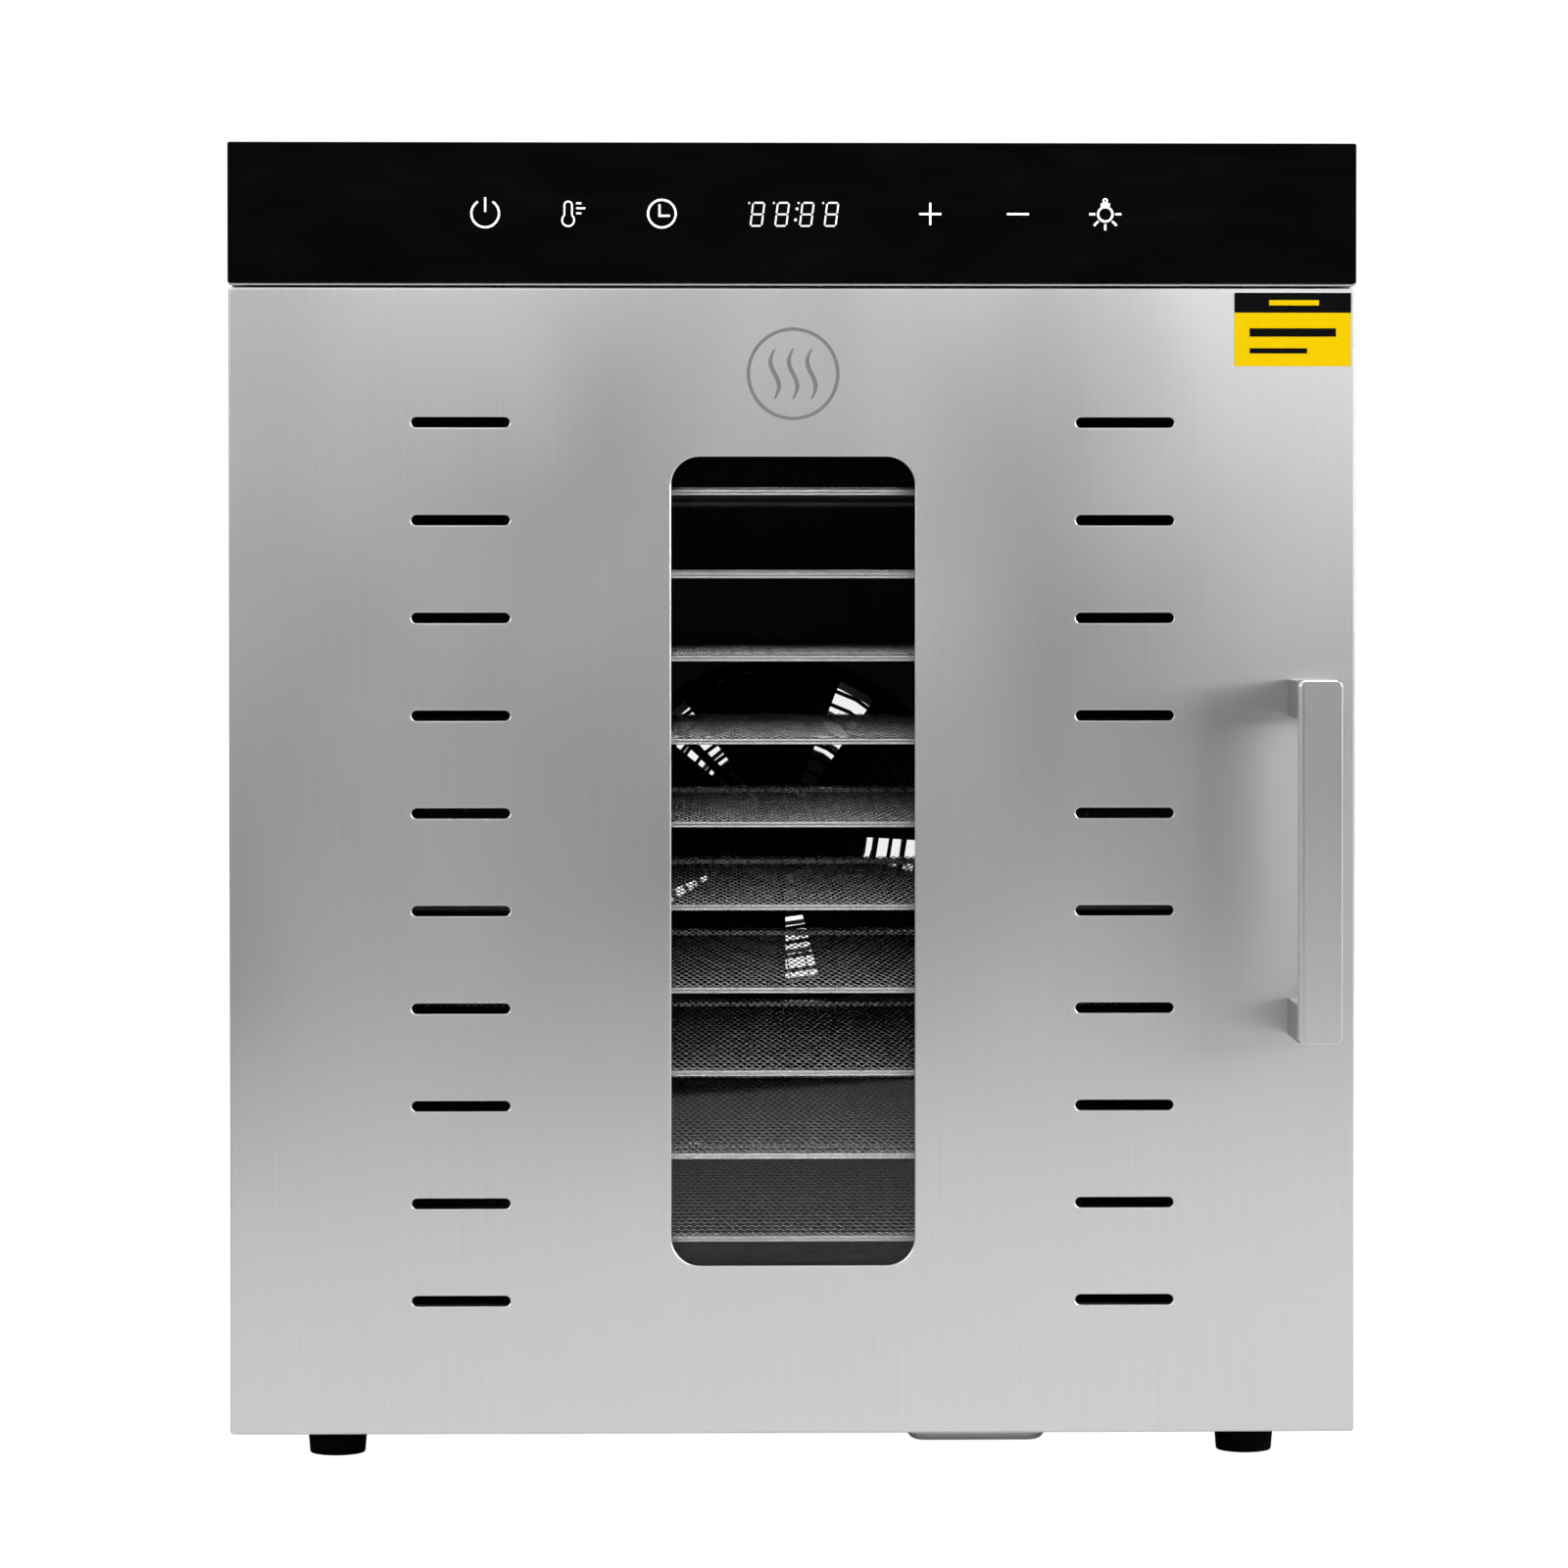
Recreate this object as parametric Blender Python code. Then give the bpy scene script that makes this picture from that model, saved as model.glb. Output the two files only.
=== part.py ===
"""Ten-tray cabinet food dehydrator, modelled as separate pieces in metres.

+Z is up, the door faces -Y and its hinge is on the -X side. The origin is at the bottom centre
of the whole object. Depths are given from the door's front face, which lies at y = FRONT.
"""

import math

import bmesh
import bpy
from mathutils import Vector
from mathutils.geometry import tessellate_polygon

# Whole object
WIDTH = 0.430
HEIGHT = 0.5065
BODY_DEPTH = 0.430
HANDLE_REACH = 0.043
REAR_STAND = 0.003
FRONT = HANDLE_REACH - (HANDLE_REACH + BODY_DEPTH + REAR_STAND) / 2
GAP = 0.0003
SHEET = 0.0009
BOARD_SHEET = 0.0016
CUTTER_MARGIN = 0.0050

# Feet
FOOT_X = 0.177
FOOT_DEPTHS = {"front": 0.050, "rear": 0.385}
FOOT_TOP_RADIUS = 0.011
FOOT_TIP_RADIUS = 0.0095
BASE_Z = 0.0150

# Cabinet
CABINET_FRONT = 0.0235
SHELF_Z = 0.4515
LINER_HALF = 0.2040
LINER_BOTTOM = 0.0350
LINER_TOP = 0.4300
LINER_SHEET = 0.0007
LINER_FRONT = CABINET_FRONT + SHEET + GAP
LINER_BACK = 0.3810
FRAME_OPENING_HALF = 0.2025
SHELF_SHEET = 0.0010

# Vent slots high in the back panel
VENT_SIZE = (0.030, 0.004)
VENT_PITCH = (0.042, 0.014)
VENT_LOW_Z = 0.470
VENT_ROWS = 2
VENT_COLUMNS = 7

# Door
DOOR_HALF = 0.2145
DOOR_BOTTOM = 0.0145
DOOR_TOP = 0.4513
DOOR_DEPTH = 0.0215
DOOR_SHEET = 0.0010
INNER_PANEL_SHEET = 0.0010
INNER_PANEL_BACK = DOOR_DEPTH - 0.0002
INNER_PANEL_FRONT = INNER_PANEL_BACK - INNER_PANEL_SHEET
HINGE_X = -0.2100
HINGE_DEPTH = 0.0105
HINGE_PIN_RADIUS = 0.0020
HINGE_HOLE_RADIUS = HINGE_PIN_RADIUS + GAP
HINGE_ARM_HALF = 0.0035
HINGE_ARM_SHEET = 0.0015
HINGE_ARM_TAIL = 0.0350
HINGE_BLOCK_DEPTHS = (0.0040, 0.0170)
HINGE_BLOCK_HEIGHT = 0.0080
NOTCH_DEPTH = DOOR_SHEET + 0.0005
NOTCH_RIGHT = HINGE_X + HINGE_ARM_HALF + 0.0010
NOTCH_LOW_TOP = BASE_Z + SHEET + HINGE_ARM_SHEET + 3 * GAP
NOTCH_HIGH_BOTTOM = SHELF_Z - HINGE_ARM_SHEET - 4 * GAP
WINDOW_WIDTH = 0.0929
WINDOW_BOTTOM = 0.0786
WINDOW_TOP = 0.3871
WINDOW_RADIUS = 0.0109
GLASS_THICKNESS = 0.0040
GLASS_MARGIN = 0.0080
GASKET_MARGIN = 0.0030
INNER_WINDOW_MARGIN = 0.0035
SLOT_X = 0.1265
SLOT_LENGTH = 0.0375
SLOT_HEIGHT = 0.0040
SLOT_TOP_Z = 0.4001
SLOT_PITCH = 0.0372
SLOT_COUNT = 10
INNER_SLOT_MARGIN = 0.0020
DOOR_GASKET_HALF = 0.2062
DOOR_GASKET_WIDTH = 0.0028

CATCH_X = 0.2090
CATCH_Z = 0.2345
CATCH_WIDTH = 0.0070
CATCH_HEIGHT = 0.0400

# Handle on the door
HANDLE_X = 0.1969
HANDLE_WIDTH = 0.0161
HANDLE_LOW = 0.1663
HANDLE_HIGH = 0.3026
HANDLE_BAR = 0.0085
HANDLE_POST = 0.0145

# Control fascia over the door
PANEL_HALF = 0.2148
PANEL_BOTTOM = 0.4522
PANEL_LIP = 0.0008
PANEL_GLASS = 0.0019
PANEL_WALL = 0.0015
PANEL_OPENING = (0.256, 0.030)
DISPLAY_X = 0.0013
DISPLAY_Z = 0.4792
DISPLAY_SIZE = (0.046, 0.018)
DISPLAY_DEPTH = 0.0058
CONTROL_BOARD_SIZE = (0.268, 0.038)
CHIP_X = (-0.095, -0.045, 0.060, 0.105)
CHIP_SIZE = 0.012
CHIP_RISE = 0.0044

# Supply board on the shelf behind the controls
POWER_BOARD_X = (0.060, 0.170)
POWER_BOARD_DEPTHS = (0.260, 0.380)
STANDOFF_HEIGHT = 0.0080
STANDOFF_WIDTH = 0.0060
STANDOFF_INSET = 0.0060
COMPONENT_SIZES = ((0.028, 0.024, 0.022), (0.020, 0.016, 0.016), (0.018, 0.030, 0.012))
COMPONENT_START = (0.018, 0.036)
COMPONENT_STEP = (0.032, 0.018)

# Trays on the two racks
TRAY_COUNT = 10
TRAY_TOP_Z = 0.3752
TRAY_PITCH = 0.0321
TRAY_FRONT = 0.0300
TRAY_DEPTH = 0.345
TRAY_HALF = 0.1995
TRAY_THICKNESS = 0.0024
TRAY_RIM = 0.0080
TRAY_BAR = 0.0012
TRAY_COLUMNS = 10
TRAY_ROWS = 2
RACK_INNER = 0.1925
RACK_LEDGE = 0.0010

# Fan, guard and heater
FAN_Z = 0.2258
FAN_RADIUS = 0.0735
FAN_HUB_RADIUS = 0.0130
FAN_FRONT = 0.3845
FAN_DEPTH = 0.0180
BLADE_COUNT = 5
BLADE_FIRST_DEGREES = -46.5
BLADE_SHEET = 0.0009
BLADE_HALF_ANGLE = 0.505
BLADE_CAMBER = 0.0012
# radius and half of the rise from the leading to the trailing edge
BLADE_STATIONS = ((0.0115, 0.0055), (0.0400, 0.0077), (FAN_RADIUS, 0.0080))
SHAFT_RADIUS = 0.0025
MOTOR_RADIUS = 0.0400
MOTOR_FRONT = 0.4045
MOTOR_BACK = 0.4235
BRACKET_HUB = 0.0300
BRACKET_REACH = 0.0880
BRACKET_ARM_HALF = 0.0075
BRACKET_FOOT = 0.0090
BRACKET_ARMS = 3
BRACKET_FIRST_DEGREES = 82.0
GUARD_RADIUS = 0.0800
GUARD_FIRST_SLOT = 0.0187
GUARD_PITCH = 0.0064
GUARD_SLOT = 0.0046
GUARD_SPOKE = 0.0040
REAR_FIRST_SLOT = 0.0192
REAR_PITCH = 0.0131
REAR_SLOT = 0.0111
FAN_OPENING = 0.0755
REAR_OPENING = 0.0730
REAR_GUARD_RADIUS = 0.0800
HEATER_RADIUS = 0.0860
HEATER_TUBE = 0.0032
HEATER_DEPTH = 0.3910
HEATER_START_DEGREES = -70.0
HEATER_SWEEP_DEGREES = 320.0
CLIP_SIZE = (0.010, 0.012)

# Sensors and lamp
CUTOUT_CENTRE = (-0.110, 0.310)
CUTOUT_RADIUS = 0.0080
CUTOUT_BACK = 0.3900
PROBE_X = -0.120
PROBE_RADIUS = 0.0020
PROBE_LENGTH = 0.0105
LAMP_DEPTHS = (0.045, 0.063)
LAMP_HALF = 0.040
LAMP_BASE = 0.003
LENS_SIZE = (0.076, 0.014)
LENS_HEIGHT = 0.004

# Drip tray hung under the base
DRIP_X = 0.0705
DRIP_HALF = 0.0270
DRIP_FRONT = 0.0100
DRIP_LENGTH = 0.1200
DRIP_TOP = 0.0137
DRIP_BOTTOM = 0.0095
DRIP_FLANGE = 0.0030
DRIP_RIM = 0.0006

# Power inlet at the back
INLET_X = 0.1500
INLET_Z = 0.0620
INLET_WIDTH = 0.0280
INLET_HEIGHT = 0.0200
INLET_LENGTH = 0.0240
INLET_FLANGE = (0.0400, 0.0260)
SOCKET_SIZE = (0.0240, 0.0162)
SOCKET_LENGTH = 0.0170
PIN_OFFSETS = ((-0.007, -0.003), (0.0, 0.001), (0.007, -0.003))

# colour, metallic, roughness
FINISHES = {
    "brushed_steel": ((0.62, 0.62, 0.62), 1.0, 0.32),
    "zinc_steel": ((0.48, 0.49, 0.50), 1.0, 0.45),
    "chrome": ((0.80, 0.80, 0.80), 1.0, 0.12),
    "black_glass": ((0.006, 0.006, 0.007), 0.0, 0.06),
    "clear_glass": ((0.30, 0.32, 0.32), 0.0, 0.03),
    "black_plastic": ((0.02, 0.02, 0.02), 0.0, 0.45),
    "white_plastic": ((0.80, 0.80, 0.78), 0.0, 0.40),
    "rubber": ((0.015, 0.015, 0.015), 0.0, 0.75),
    "silicone": ((0.05, 0.05, 0.05), 0.0, 0.65),
    "circuit_board": ((0.02, 0.16, 0.06), 0.0, 0.50),
    "aluminium": ((0.70, 0.71, 0.72), 1.0, 0.40),
    "magnet": ((0.05, 0.05, 0.05), 0.0, 0.55),
    "motor_iron": ((0.10, 0.10, 0.11), 0.6, 0.50),
}


def clear_scene():
    for thing in list(bpy.data.objects):
        bpy.data.objects.remove(thing, do_unlink=True)


def make_material(name):
    colour, metallic, roughness = FINISHES[name]
    material = bpy.data.materials.new(name)
    material.use_nodes = True
    shader = material.node_tree.nodes["Principled BSDF"]
    shader.inputs["Base Color"].default_value = (*colour, 1.0)
    shader.inputs["Metallic"].default_value = metallic
    shader.inputs["Roughness"].default_value = roughness
    if name == "clear_glass":
        shader.inputs["Alpha"].default_value = 0.35
    return material


# Outlines are lists of (u, v) points, counter-clockwise


def rectangle(u0, v0, u1, v1):
    return [(u0, v0), (u1, v0), (u1, v1), (u0, v1)]


def centred_rectangle(width, height, centre):
    return rectangle(
        centre[0] - width / 2,
        centre[1] - height / 2,
        centre[0] + width / 2,
        centre[1] + height / 2,
    )


def rounded_rectangle(width, height, radius, centre, steps=4):
    points = []
    for corner, (side_u, side_v) in enumerate(((1, 1), (-1, 1), (-1, -1), (1, -1))):
        middle_u = centre[0] + side_u * (width / 2 - radius)
        middle_v = centre[1] + side_v * (height / 2 - radius)
        for step in range(steps + 1):
            angle = (corner + step / steps) * math.pi / 2
            point = (middle_u + radius * math.cos(angle), middle_v + radius * math.sin(angle))
            if not points or math.dist(point, points[-1]) > 1e-6:
                points.append(point)
    if math.dist(points[0], points[-1]) < 1e-6:
        points.pop()
    return points


def circle(radius, centre, steps):
    return [polar(centre, radius, 2 * math.pi * step / steps) for step in range(steps)]


def polar(centre, radius, angle):
    return (centre[0] + radius * math.cos(angle), centre[1] + radius * math.sin(angle))


def arc_slot(centre, inner, outer, start, end, steps):
    angles = [start + (end - start) * step / steps for step in range(steps + 1)]
    outside = [polar(centre, outer, angle) for angle in angles]
    inside = [polar(centre, inner, angle) for angle in reversed(angles)]
    return outside + inside


def ring_slots(centre, first_radius, pitch, slot, count, sectors, spoke, steps):
    """Concentric slots broken by straight spokes of one width."""
    slots = []
    for ring in range(count):
        inner = first_radius + ring * pitch
        half_spoke = spoke / 2 / (inner + slot / 2)
        for sector in range(sectors):
            start = 2 * math.pi * sector / sectors + half_spoke
            end = 2 * math.pi * (sector + 1) / sectors - half_spoke
            slots.append(arc_slot(centre, inner, inner + slot, start, end, steps))
    return slots


def rod_profile(radius, low, high):
    return [(0.0, low), (radius, low), (radius, high), (0.0, high)]


# Solids added to a bmesh


def place(u, v, level, axis):
    if axis == "X":
        return (level, u, v)
    if axis == "Y":
        return (u, level, v)
    return (u, v, level)


def add_prism(bm, loops, low, high, axis):
    """A closed slab from low to high along an axis; loops[0] is its outline, the others are holes."""
    points = [point for loop in loops for point in loop]
    near = [bm.verts.new(place(u, v, low, axis)) for u, v in points]
    far = [bm.verts.new(place(u, v, high, axis)) for u, v in points]
    if len(loops) == 1:
        bm.faces.new(near)
        bm.faces.new(far)
    else:
        flat_loops = [[Vector((u, v, 0.0)) for u, v in loop] for loop in loops]
        for corners in tessellate_polygon(flat_loops):
            bm.faces.new([near[corner] for corner in corners])
            bm.faces.new([far[corner] for corner in corners])
    start = 0
    for loop in loops:
        for index in range(len(loop)):
            this = start + index
            following = start + (index + 1) % len(loop)
            bm.faces.new((near[this], near[following], far[following], far[this]))
        start += len(loop)


def add_block(bm, low, high):
    add_prism(bm, [rectangle(low[0], low[1], high[0], high[1])], low[2], high[2], "Z")


def add_loft(bm, rings):
    """A closed solid through rings of equally many points, capped at both ends."""
    rows = [[bm.verts.new(point) for point in ring] for ring in rings]
    for lower, upper in zip(rows, rows[1:]):
        count = len(lower)
        for index in range(count):
            after = (index + 1) % count
            bm.faces.new((lower[index], lower[after], upper[after], upper[index]))
    bm.faces.new(rows[0])
    bm.faces.new(list(reversed(rows[-1])))


def add_lathe(bm, profile, centre, axis, steps):
    """Turns (radius, height) points about an axis; it is closed on the axis or on itself."""
    rows = []
    for radius, height in profile:
        count = steps if radius > 0 else 1
        row = []
        for u, v in circle(radius, (0.0, 0.0), count):
            offset = Vector(place(u, v, height, axis))
            row.append(bm.verts.new(Vector(centre) + offset))
        rows.append(row)
    pairs = list(zip(rows, rows[1:]))
    if profile[0][0] > 0:
        pairs.append((rows[-1], rows[0]))
    for lower, upper in pairs:
        for index in range(steps):
            after = (index + 1) % steps
            ring = [lower[index % len(lower)], lower[after % len(lower)]]
            ring += [upper[after % len(upper)], upper[index % len(upper)]]
            bm.faces.new(list(dict.fromkeys(ring)))


# Objects


def new_object(name, bm, material=None, smooth=False):
    bmesh.ops.recalc_face_normals(bm, faces=bm.faces)
    mesh = bpy.data.meshes.new(name)
    bm.to_mesh(mesh)
    bm.free()
    if material:
        mesh.materials.append(material)
    if smooth:
        mesh.shade_smooth()
        mesh.set_sharp_from_angle(angle=math.radians(35))
    thing = bpy.data.objects.new(name, mesh)
    bpy.context.collection.objects.link(thing)
    return thing


def plate(name, loops, low, high, axis, material):
    bm = bmesh.new()
    add_prism(bm, loops, low, high, axis)
    return new_object(name, bm, material)


def block(name, low, high, material):
    bm = bmesh.new()
    add_block(bm, low, high)
    return new_object(name, bm, material)


def turned(name, profile, centre, axis, steps, material):
    bm = bmesh.new()
    add_lathe(bm, profile, centre, axis, steps)
    return new_object(name, bm, material, smooth=True)


def helper_shape(name, bm):
    """A cutter or a shape to be joined: it is seen as wires and is no piece of its own."""
    thing = new_object(name, bm)
    thing.display_type = "WIRE"
    thing.hide_render = True
    return thing


def combine(thing, shape, operation):
    modifier = thing.modifiers.new(shape.name, "BOOLEAN")
    modifier.operation = operation
    modifier.solver = "EXACT"
    modifier.object = shape


def axis_empty(name, location):
    empty = bpy.data.objects.new(name, None)
    empty.location = location
    empty.empty_display_size = 0.03
    bpy.context.collection.objects.link(empty)
    return empty


def hang_on(empty, things):
    """Parents pieces to an empty on their joint's axis, leaving them where they are."""
    for thing in things:
        thing.parent = empty
        thing.location = -empty.location


def depth(value):
    """The y of a depth measured back from the door's front face."""
    return FRONT + value


# Cabinet shell


def make_outer_wrap(materials):
    half = WIDTH / 2
    inner = half - SHEET
    outline = [
        (-half, BASE_Z),
        (-inner, BASE_Z),
        (-inner, HEIGHT - SHEET),
        (inner, HEIGHT - SHEET),
        (inner, BASE_Z),
        (half, BASE_Z),
        (half, HEIGHT),
        (-half, HEIGHT),
    ]
    front, back = depth(CABINET_FRONT), depth(BODY_DEPTH)
    plate("outer_wrap", [outline], front, back, "Y", materials["brushed_steel"])


def inside_wrap_half():
    return WIDTH / 2 - SHEET - GAP


def make_front_frame(materials):
    half = inside_wrap_half()
    low = BASE_Z + SHEET + GAP + HINGE_ARM_SHEET + 2 * GAP
    high = SHELF_Z - HINGE_ARM_SHEET - 3 * GAP
    opening_low = LINER_BOTTOM + LINER_SHEET + GAP
    opening_high = LINER_TOP - LINER_SHEET - GAP
    opening_half = FRAME_OPENING_HALF
    catch_hole = centred_rectangle(
        CATCH_WIDTH + 2 * GAP, CATCH_HEIGHT + 2 * GAP, (CATCH_X, CATCH_Z)
    )
    loops = [
        rectangle(-half, low, half, high),
        rectangle(-opening_half, opening_low, opening_half, opening_high),
        catch_hole,
    ]
    front = depth(CABINET_FRONT)
    plate("front_frame", loops, front, front + SHEET, "Y", materials["brushed_steel"])


def make_magnet_catch(materials):
    low_x, high_x = CATCH_X - CATCH_WIDTH / 2, CATCH_X + CATCH_WIDTH / 2
    low_z, high_z = CATCH_Z - CATCH_HEIGHT / 2, CATCH_Z + CATCH_HEIGHT / 2
    near, far = depth(CABINET_FRONT + 0.0002), depth(CABINET_FRONT + 0.0100)
    block("magnet_catch", (low_x, near, low_z), (high_x, far, high_z), materials["magnet"])


def make_base_pan(materials):
    half = inside_wrap_half()
    outline = rectangle(-half, depth(CABINET_FRONT), half, depth(BODY_DEPTH - SHEET - GAP))
    plate("base_pan", [outline], BASE_Z, BASE_Z + SHEET, "Z", materials["zinc_steel"])


def make_control_shelf(materials):
    half = inside_wrap_half()
    outline = rectangle(-half, depth(CABINET_FRONT), half, depth(BODY_DEPTH - SHEET - GAP))
    low = SHELF_Z
    plate("control_shelf", [outline], low, low + SHELF_SHEET, "Z", materials["zinc_steel"])


def make_back_panel(materials):
    half = inside_wrap_half()
    low = BASE_Z + SHEET + GAP
    high = HEIGHT - SHEET - GAP
    inlet = centred_rectangle(
        INLET_WIDTH + 2 * GAP, INLET_HEIGHT + 2 * GAP, (INLET_X, INLET_Z)
    )
    loops = [
        rectangle(-half, low, half, high),
        circle(REAR_OPENING, (0.0, FAN_Z), 32),
        inlet,
    ]
    for row in range(VENT_ROWS):
        for column in range(VENT_COLUMNS):
            x = (column - (VENT_COLUMNS - 1) / 2) * VENT_PITCH[0]
            centre = (x, VENT_LOW_Z + row * VENT_PITCH[1])
            loops.append(rounded_rectangle(*VENT_SIZE, VENT_SIZE[1] / 2, centre, 2))
    near, far = depth(BODY_DEPTH - SHEET), depth(BODY_DEPTH)
    plate("back_panel", loops, near, far, "Y", materials["brushed_steel"])


def make_inner_liner(materials):
    low = (-LINER_HALF, depth(LINER_FRONT), LINER_BOTTOM)
    high = (LINER_HALF, depth(LINER_BACK), LINER_TOP)
    liner = block("inner_liner", low, high, materials["brushed_steel"])
    hollow = bmesh.new()
    add_block(
        hollow,
        (low[0] + LINER_SHEET, low[1] - CUTTER_MARGIN, low[2] + LINER_SHEET),
        (high[0] - LINER_SHEET, high[1] - LINER_SHEET, high[2] - LINER_SHEET),
    )
    combine(liner, helper_shape("cut_liner_hollow", hollow), "DIFFERENCE")
    opening = bmesh.new()
    rim = circle(FAN_OPENING, (0.0, FAN_Z), 32)
    add_prism(opening, [rim], high[1] - CUTTER_MARGIN, high[1] + CUTTER_MARGIN, "Y")
    combine(liner, helper_shape("cut_fan_opening", opening), "DIFFERENCE")


def tray_top(index):
    return TRAY_TOP_Z - index * TRAY_PITCH


def make_racks(materials):
    """Each rack is a folded sheet standing on the liner's wall with a ledge under each tray."""
    outer = LINER_HALF - LINER_SHEET - GAP
    inner = outer - LINER_SHEET
    low = LINER_BOTTOM + LINER_SHEET + GAP
    high = LINER_TOP - LINER_SHEET - 2 * GAP
    edge = [(outer, low), (outer, high), (inner, high)]
    for index in range(TRAY_COUNT):
        ledge_top = tray_top(index) - TRAY_THICKNESS - GAP
        ledge_low = ledge_top - RACK_LEDGE
        edge += [(inner, ledge_top), (RACK_INNER, ledge_top)]
        edge += [(RACK_INNER, ledge_low), (inner, ledge_low)]
    edge.append((inner, low))
    near, far = depth(LINER_FRONT + 0.001), depth(TRAY_FRONT + TRAY_DEPTH)
    for name, side in (("rack_left", -1), ("rack_right", 1)):
        outline = [(side * u, v) for u, v in edge]
        plate(name, [outline], near, far, "Y", materials["brushed_steel"])


def make_trays(materials):
    """A tray is a rim round a lattice of bars that stands for its woven mesh."""
    front, back = depth(TRAY_FRONT), depth(TRAY_FRONT + TRAY_DEPTH)
    mesh_half = TRAY_HALF - TRAY_RIM
    cell_x = (2 * mesh_half + TRAY_BAR) / TRAY_COLUMNS
    cell_y = (TRAY_DEPTH - 2 * TRAY_RIM + TRAY_BAR) / TRAY_ROWS
    loops = [rectangle(-TRAY_HALF, front, TRAY_HALF, back)]
    for column in range(TRAY_COLUMNS):
        for row in range(TRAY_ROWS):
            u = -mesh_half + column * cell_x
            v = front + TRAY_RIM + row * cell_y
            loops.append(rectangle(u, v, u + cell_x - TRAY_BAR, v + cell_y - TRAY_BAR))
    for index in range(TRAY_COUNT):
        top = tray_top(index)
        name = f"tray_{index + 1:02d}"
        tray = plate(name, loops, top - TRAY_THICKNESS, top, "Z", materials["chrome"])
        slide = axis_empty(f"{name}_slide", Vector((0.0, front, top)))
        hang_on(slide, [tray])


def make_feet(materials):
    top = BASE_Z - GAP
    profile = [
        (0.0, 0.0),
        (FOOT_TIP_RADIUS - 0.0014, 0.0),
        (FOOT_TIP_RADIUS - 0.0004, 0.0004),
        (FOOT_TIP_RADIUS, 0.0014),
        (FOOT_TOP_RADIUS, top),
        (0.0, top),
    ]
    for row, row_depth in FOOT_DEPTHS.items():
        for side, x in (("left", -FOOT_X), ("right", FOOT_X)):
            centre = (x, depth(row_depth), 0.0)
            turned(f"foot_{row}_{side}", profile, centre, "Z", 20, materials["rubber"])


# Door


def slot_centres():
    for side in (-1, 1):
        for row in range(SLOT_COUNT):
            yield side * SLOT_X, SLOT_TOP_Z - row * SLOT_PITCH


def window_outline(margin, radius=WINDOW_RADIUS):
    middle = (0.0, (WINDOW_BOTTOM + WINDOW_TOP) / 2)
    width = WINDOW_WIDTH + 2 * margin
    height = WINDOW_TOP - WINDOW_BOTTOM + 2 * margin
    return rounded_rectangle(width, height, radius, middle, 5)


def hinge_notches():
    """Room at the door's two hinge corners for the arms, behind its front sheet."""
    notches = bmesh.new()
    left = -DOOR_HALF - CUTTER_MARGIN
    bottom, top = DOOR_BOTTOM - CUTTER_MARGIN, DOOR_TOP + CUTTER_MARGIN
    near, far = depth(NOTCH_DEPTH), depth(DOOR_DEPTH + CUTTER_MARGIN)
    add_block(notches, (left, near, bottom), (NOTCH_RIGHT, far, NOTCH_LOW_TOP))
    add_block(notches, (left, near, NOTCH_HIGH_BOTTOM), (NOTCH_RIGHT, far, top))
    return helper_shape("cut_hinge_notches", notches)


def make_door_skin(materials):
    low = (-DOOR_HALF, depth(0.0), DOOR_BOTTOM)
    high = (DOOR_HALF, depth(DOOR_DEPTH), DOOR_TOP)
    skin = block("door_skin", low, high, materials["brushed_steel"])
    hollow = bmesh.new()
    add_block(
        hollow,
        (low[0] + DOOR_SHEET, low[1] + DOOR_SHEET, low[2] + DOOR_SHEET),
        (high[0] - DOOR_SHEET, high[1] + CUTTER_MARGIN, high[2] - DOOR_SHEET),
    )
    combine(skin, helper_shape("cut_door_hollow", hollow), "DIFFERENCE")
    openings = bmesh.new()
    near, far = depth(-CUTTER_MARGIN), depth(DOOR_SHEET + CUTTER_MARGIN)
    add_prism(openings, [window_outline(0.0)], near, far, "Y")
    for centre in slot_centres():
        slot = rounded_rectangle(SLOT_LENGTH, SLOT_HEIGHT, SLOT_HEIGHT / 2, centre, 3)
        add_prism(openings, [slot], near, far, "Y")
    combine(skin, helper_shape("cut_door_openings", openings), "DIFFERENCE")
    combine(skin, hinge_notches(), "DIFFERENCE")
    return skin


def make_door_inner_panel(materials):
    half = DOOR_HALF - DOOR_SHEET - GAP
    low = DOOR_BOTTOM + DOOR_SHEET + GAP
    high = DOOR_TOP - DOOR_SHEET - GAP
    outline = [
        (NOTCH_RIGHT, low),
        (half, low),
        (half, high),
        (NOTCH_RIGHT, high),
        (NOTCH_RIGHT, NOTCH_HIGH_BOTTOM),
        (-half, NOTCH_HIGH_BOTTOM),
        (-half, NOTCH_LOW_TOP),
        (NOTCH_RIGHT, NOTCH_LOW_TOP),
    ]
    loops = [outline, window_outline(INNER_WINDOW_MARGIN)]
    length = SLOT_LENGTH + 3 * INNER_SLOT_MARGIN
    height = SLOT_HEIGHT + 2 * INNER_SLOT_MARGIN
    for centre in slot_centres():
        loops.append(rounded_rectangle(length, height, height / 2, centre, 2))
    near, far = depth(INNER_PANEL_FRONT), depth(INNER_PANEL_BACK)
    return plate("door_inner_panel", loops, near, far, "Y", materials["zinc_steel"])


def make_window(materials):
    glass_near = depth(DOOR_SHEET + GAP)
    glass_far = glass_near + GLASS_THICKNESS
    outline = window_outline(GLASS_MARGIN, WINDOW_RADIUS + GLASS_MARGIN / 2)
    glass = plate(
        "window_glass", [outline], glass_near, glass_far, "Y", materials["clear_glass"]
    )
    seal_near, seal_far = glass_far + GAP, depth(INNER_PANEL_FRONT - GAP)
    loops = [outline, window_outline(GASKET_MARGIN)]
    seal = plate("window_gasket", loops, seal_near, seal_far, "Y", materials["silicone"])
    return [glass, seal]


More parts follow.
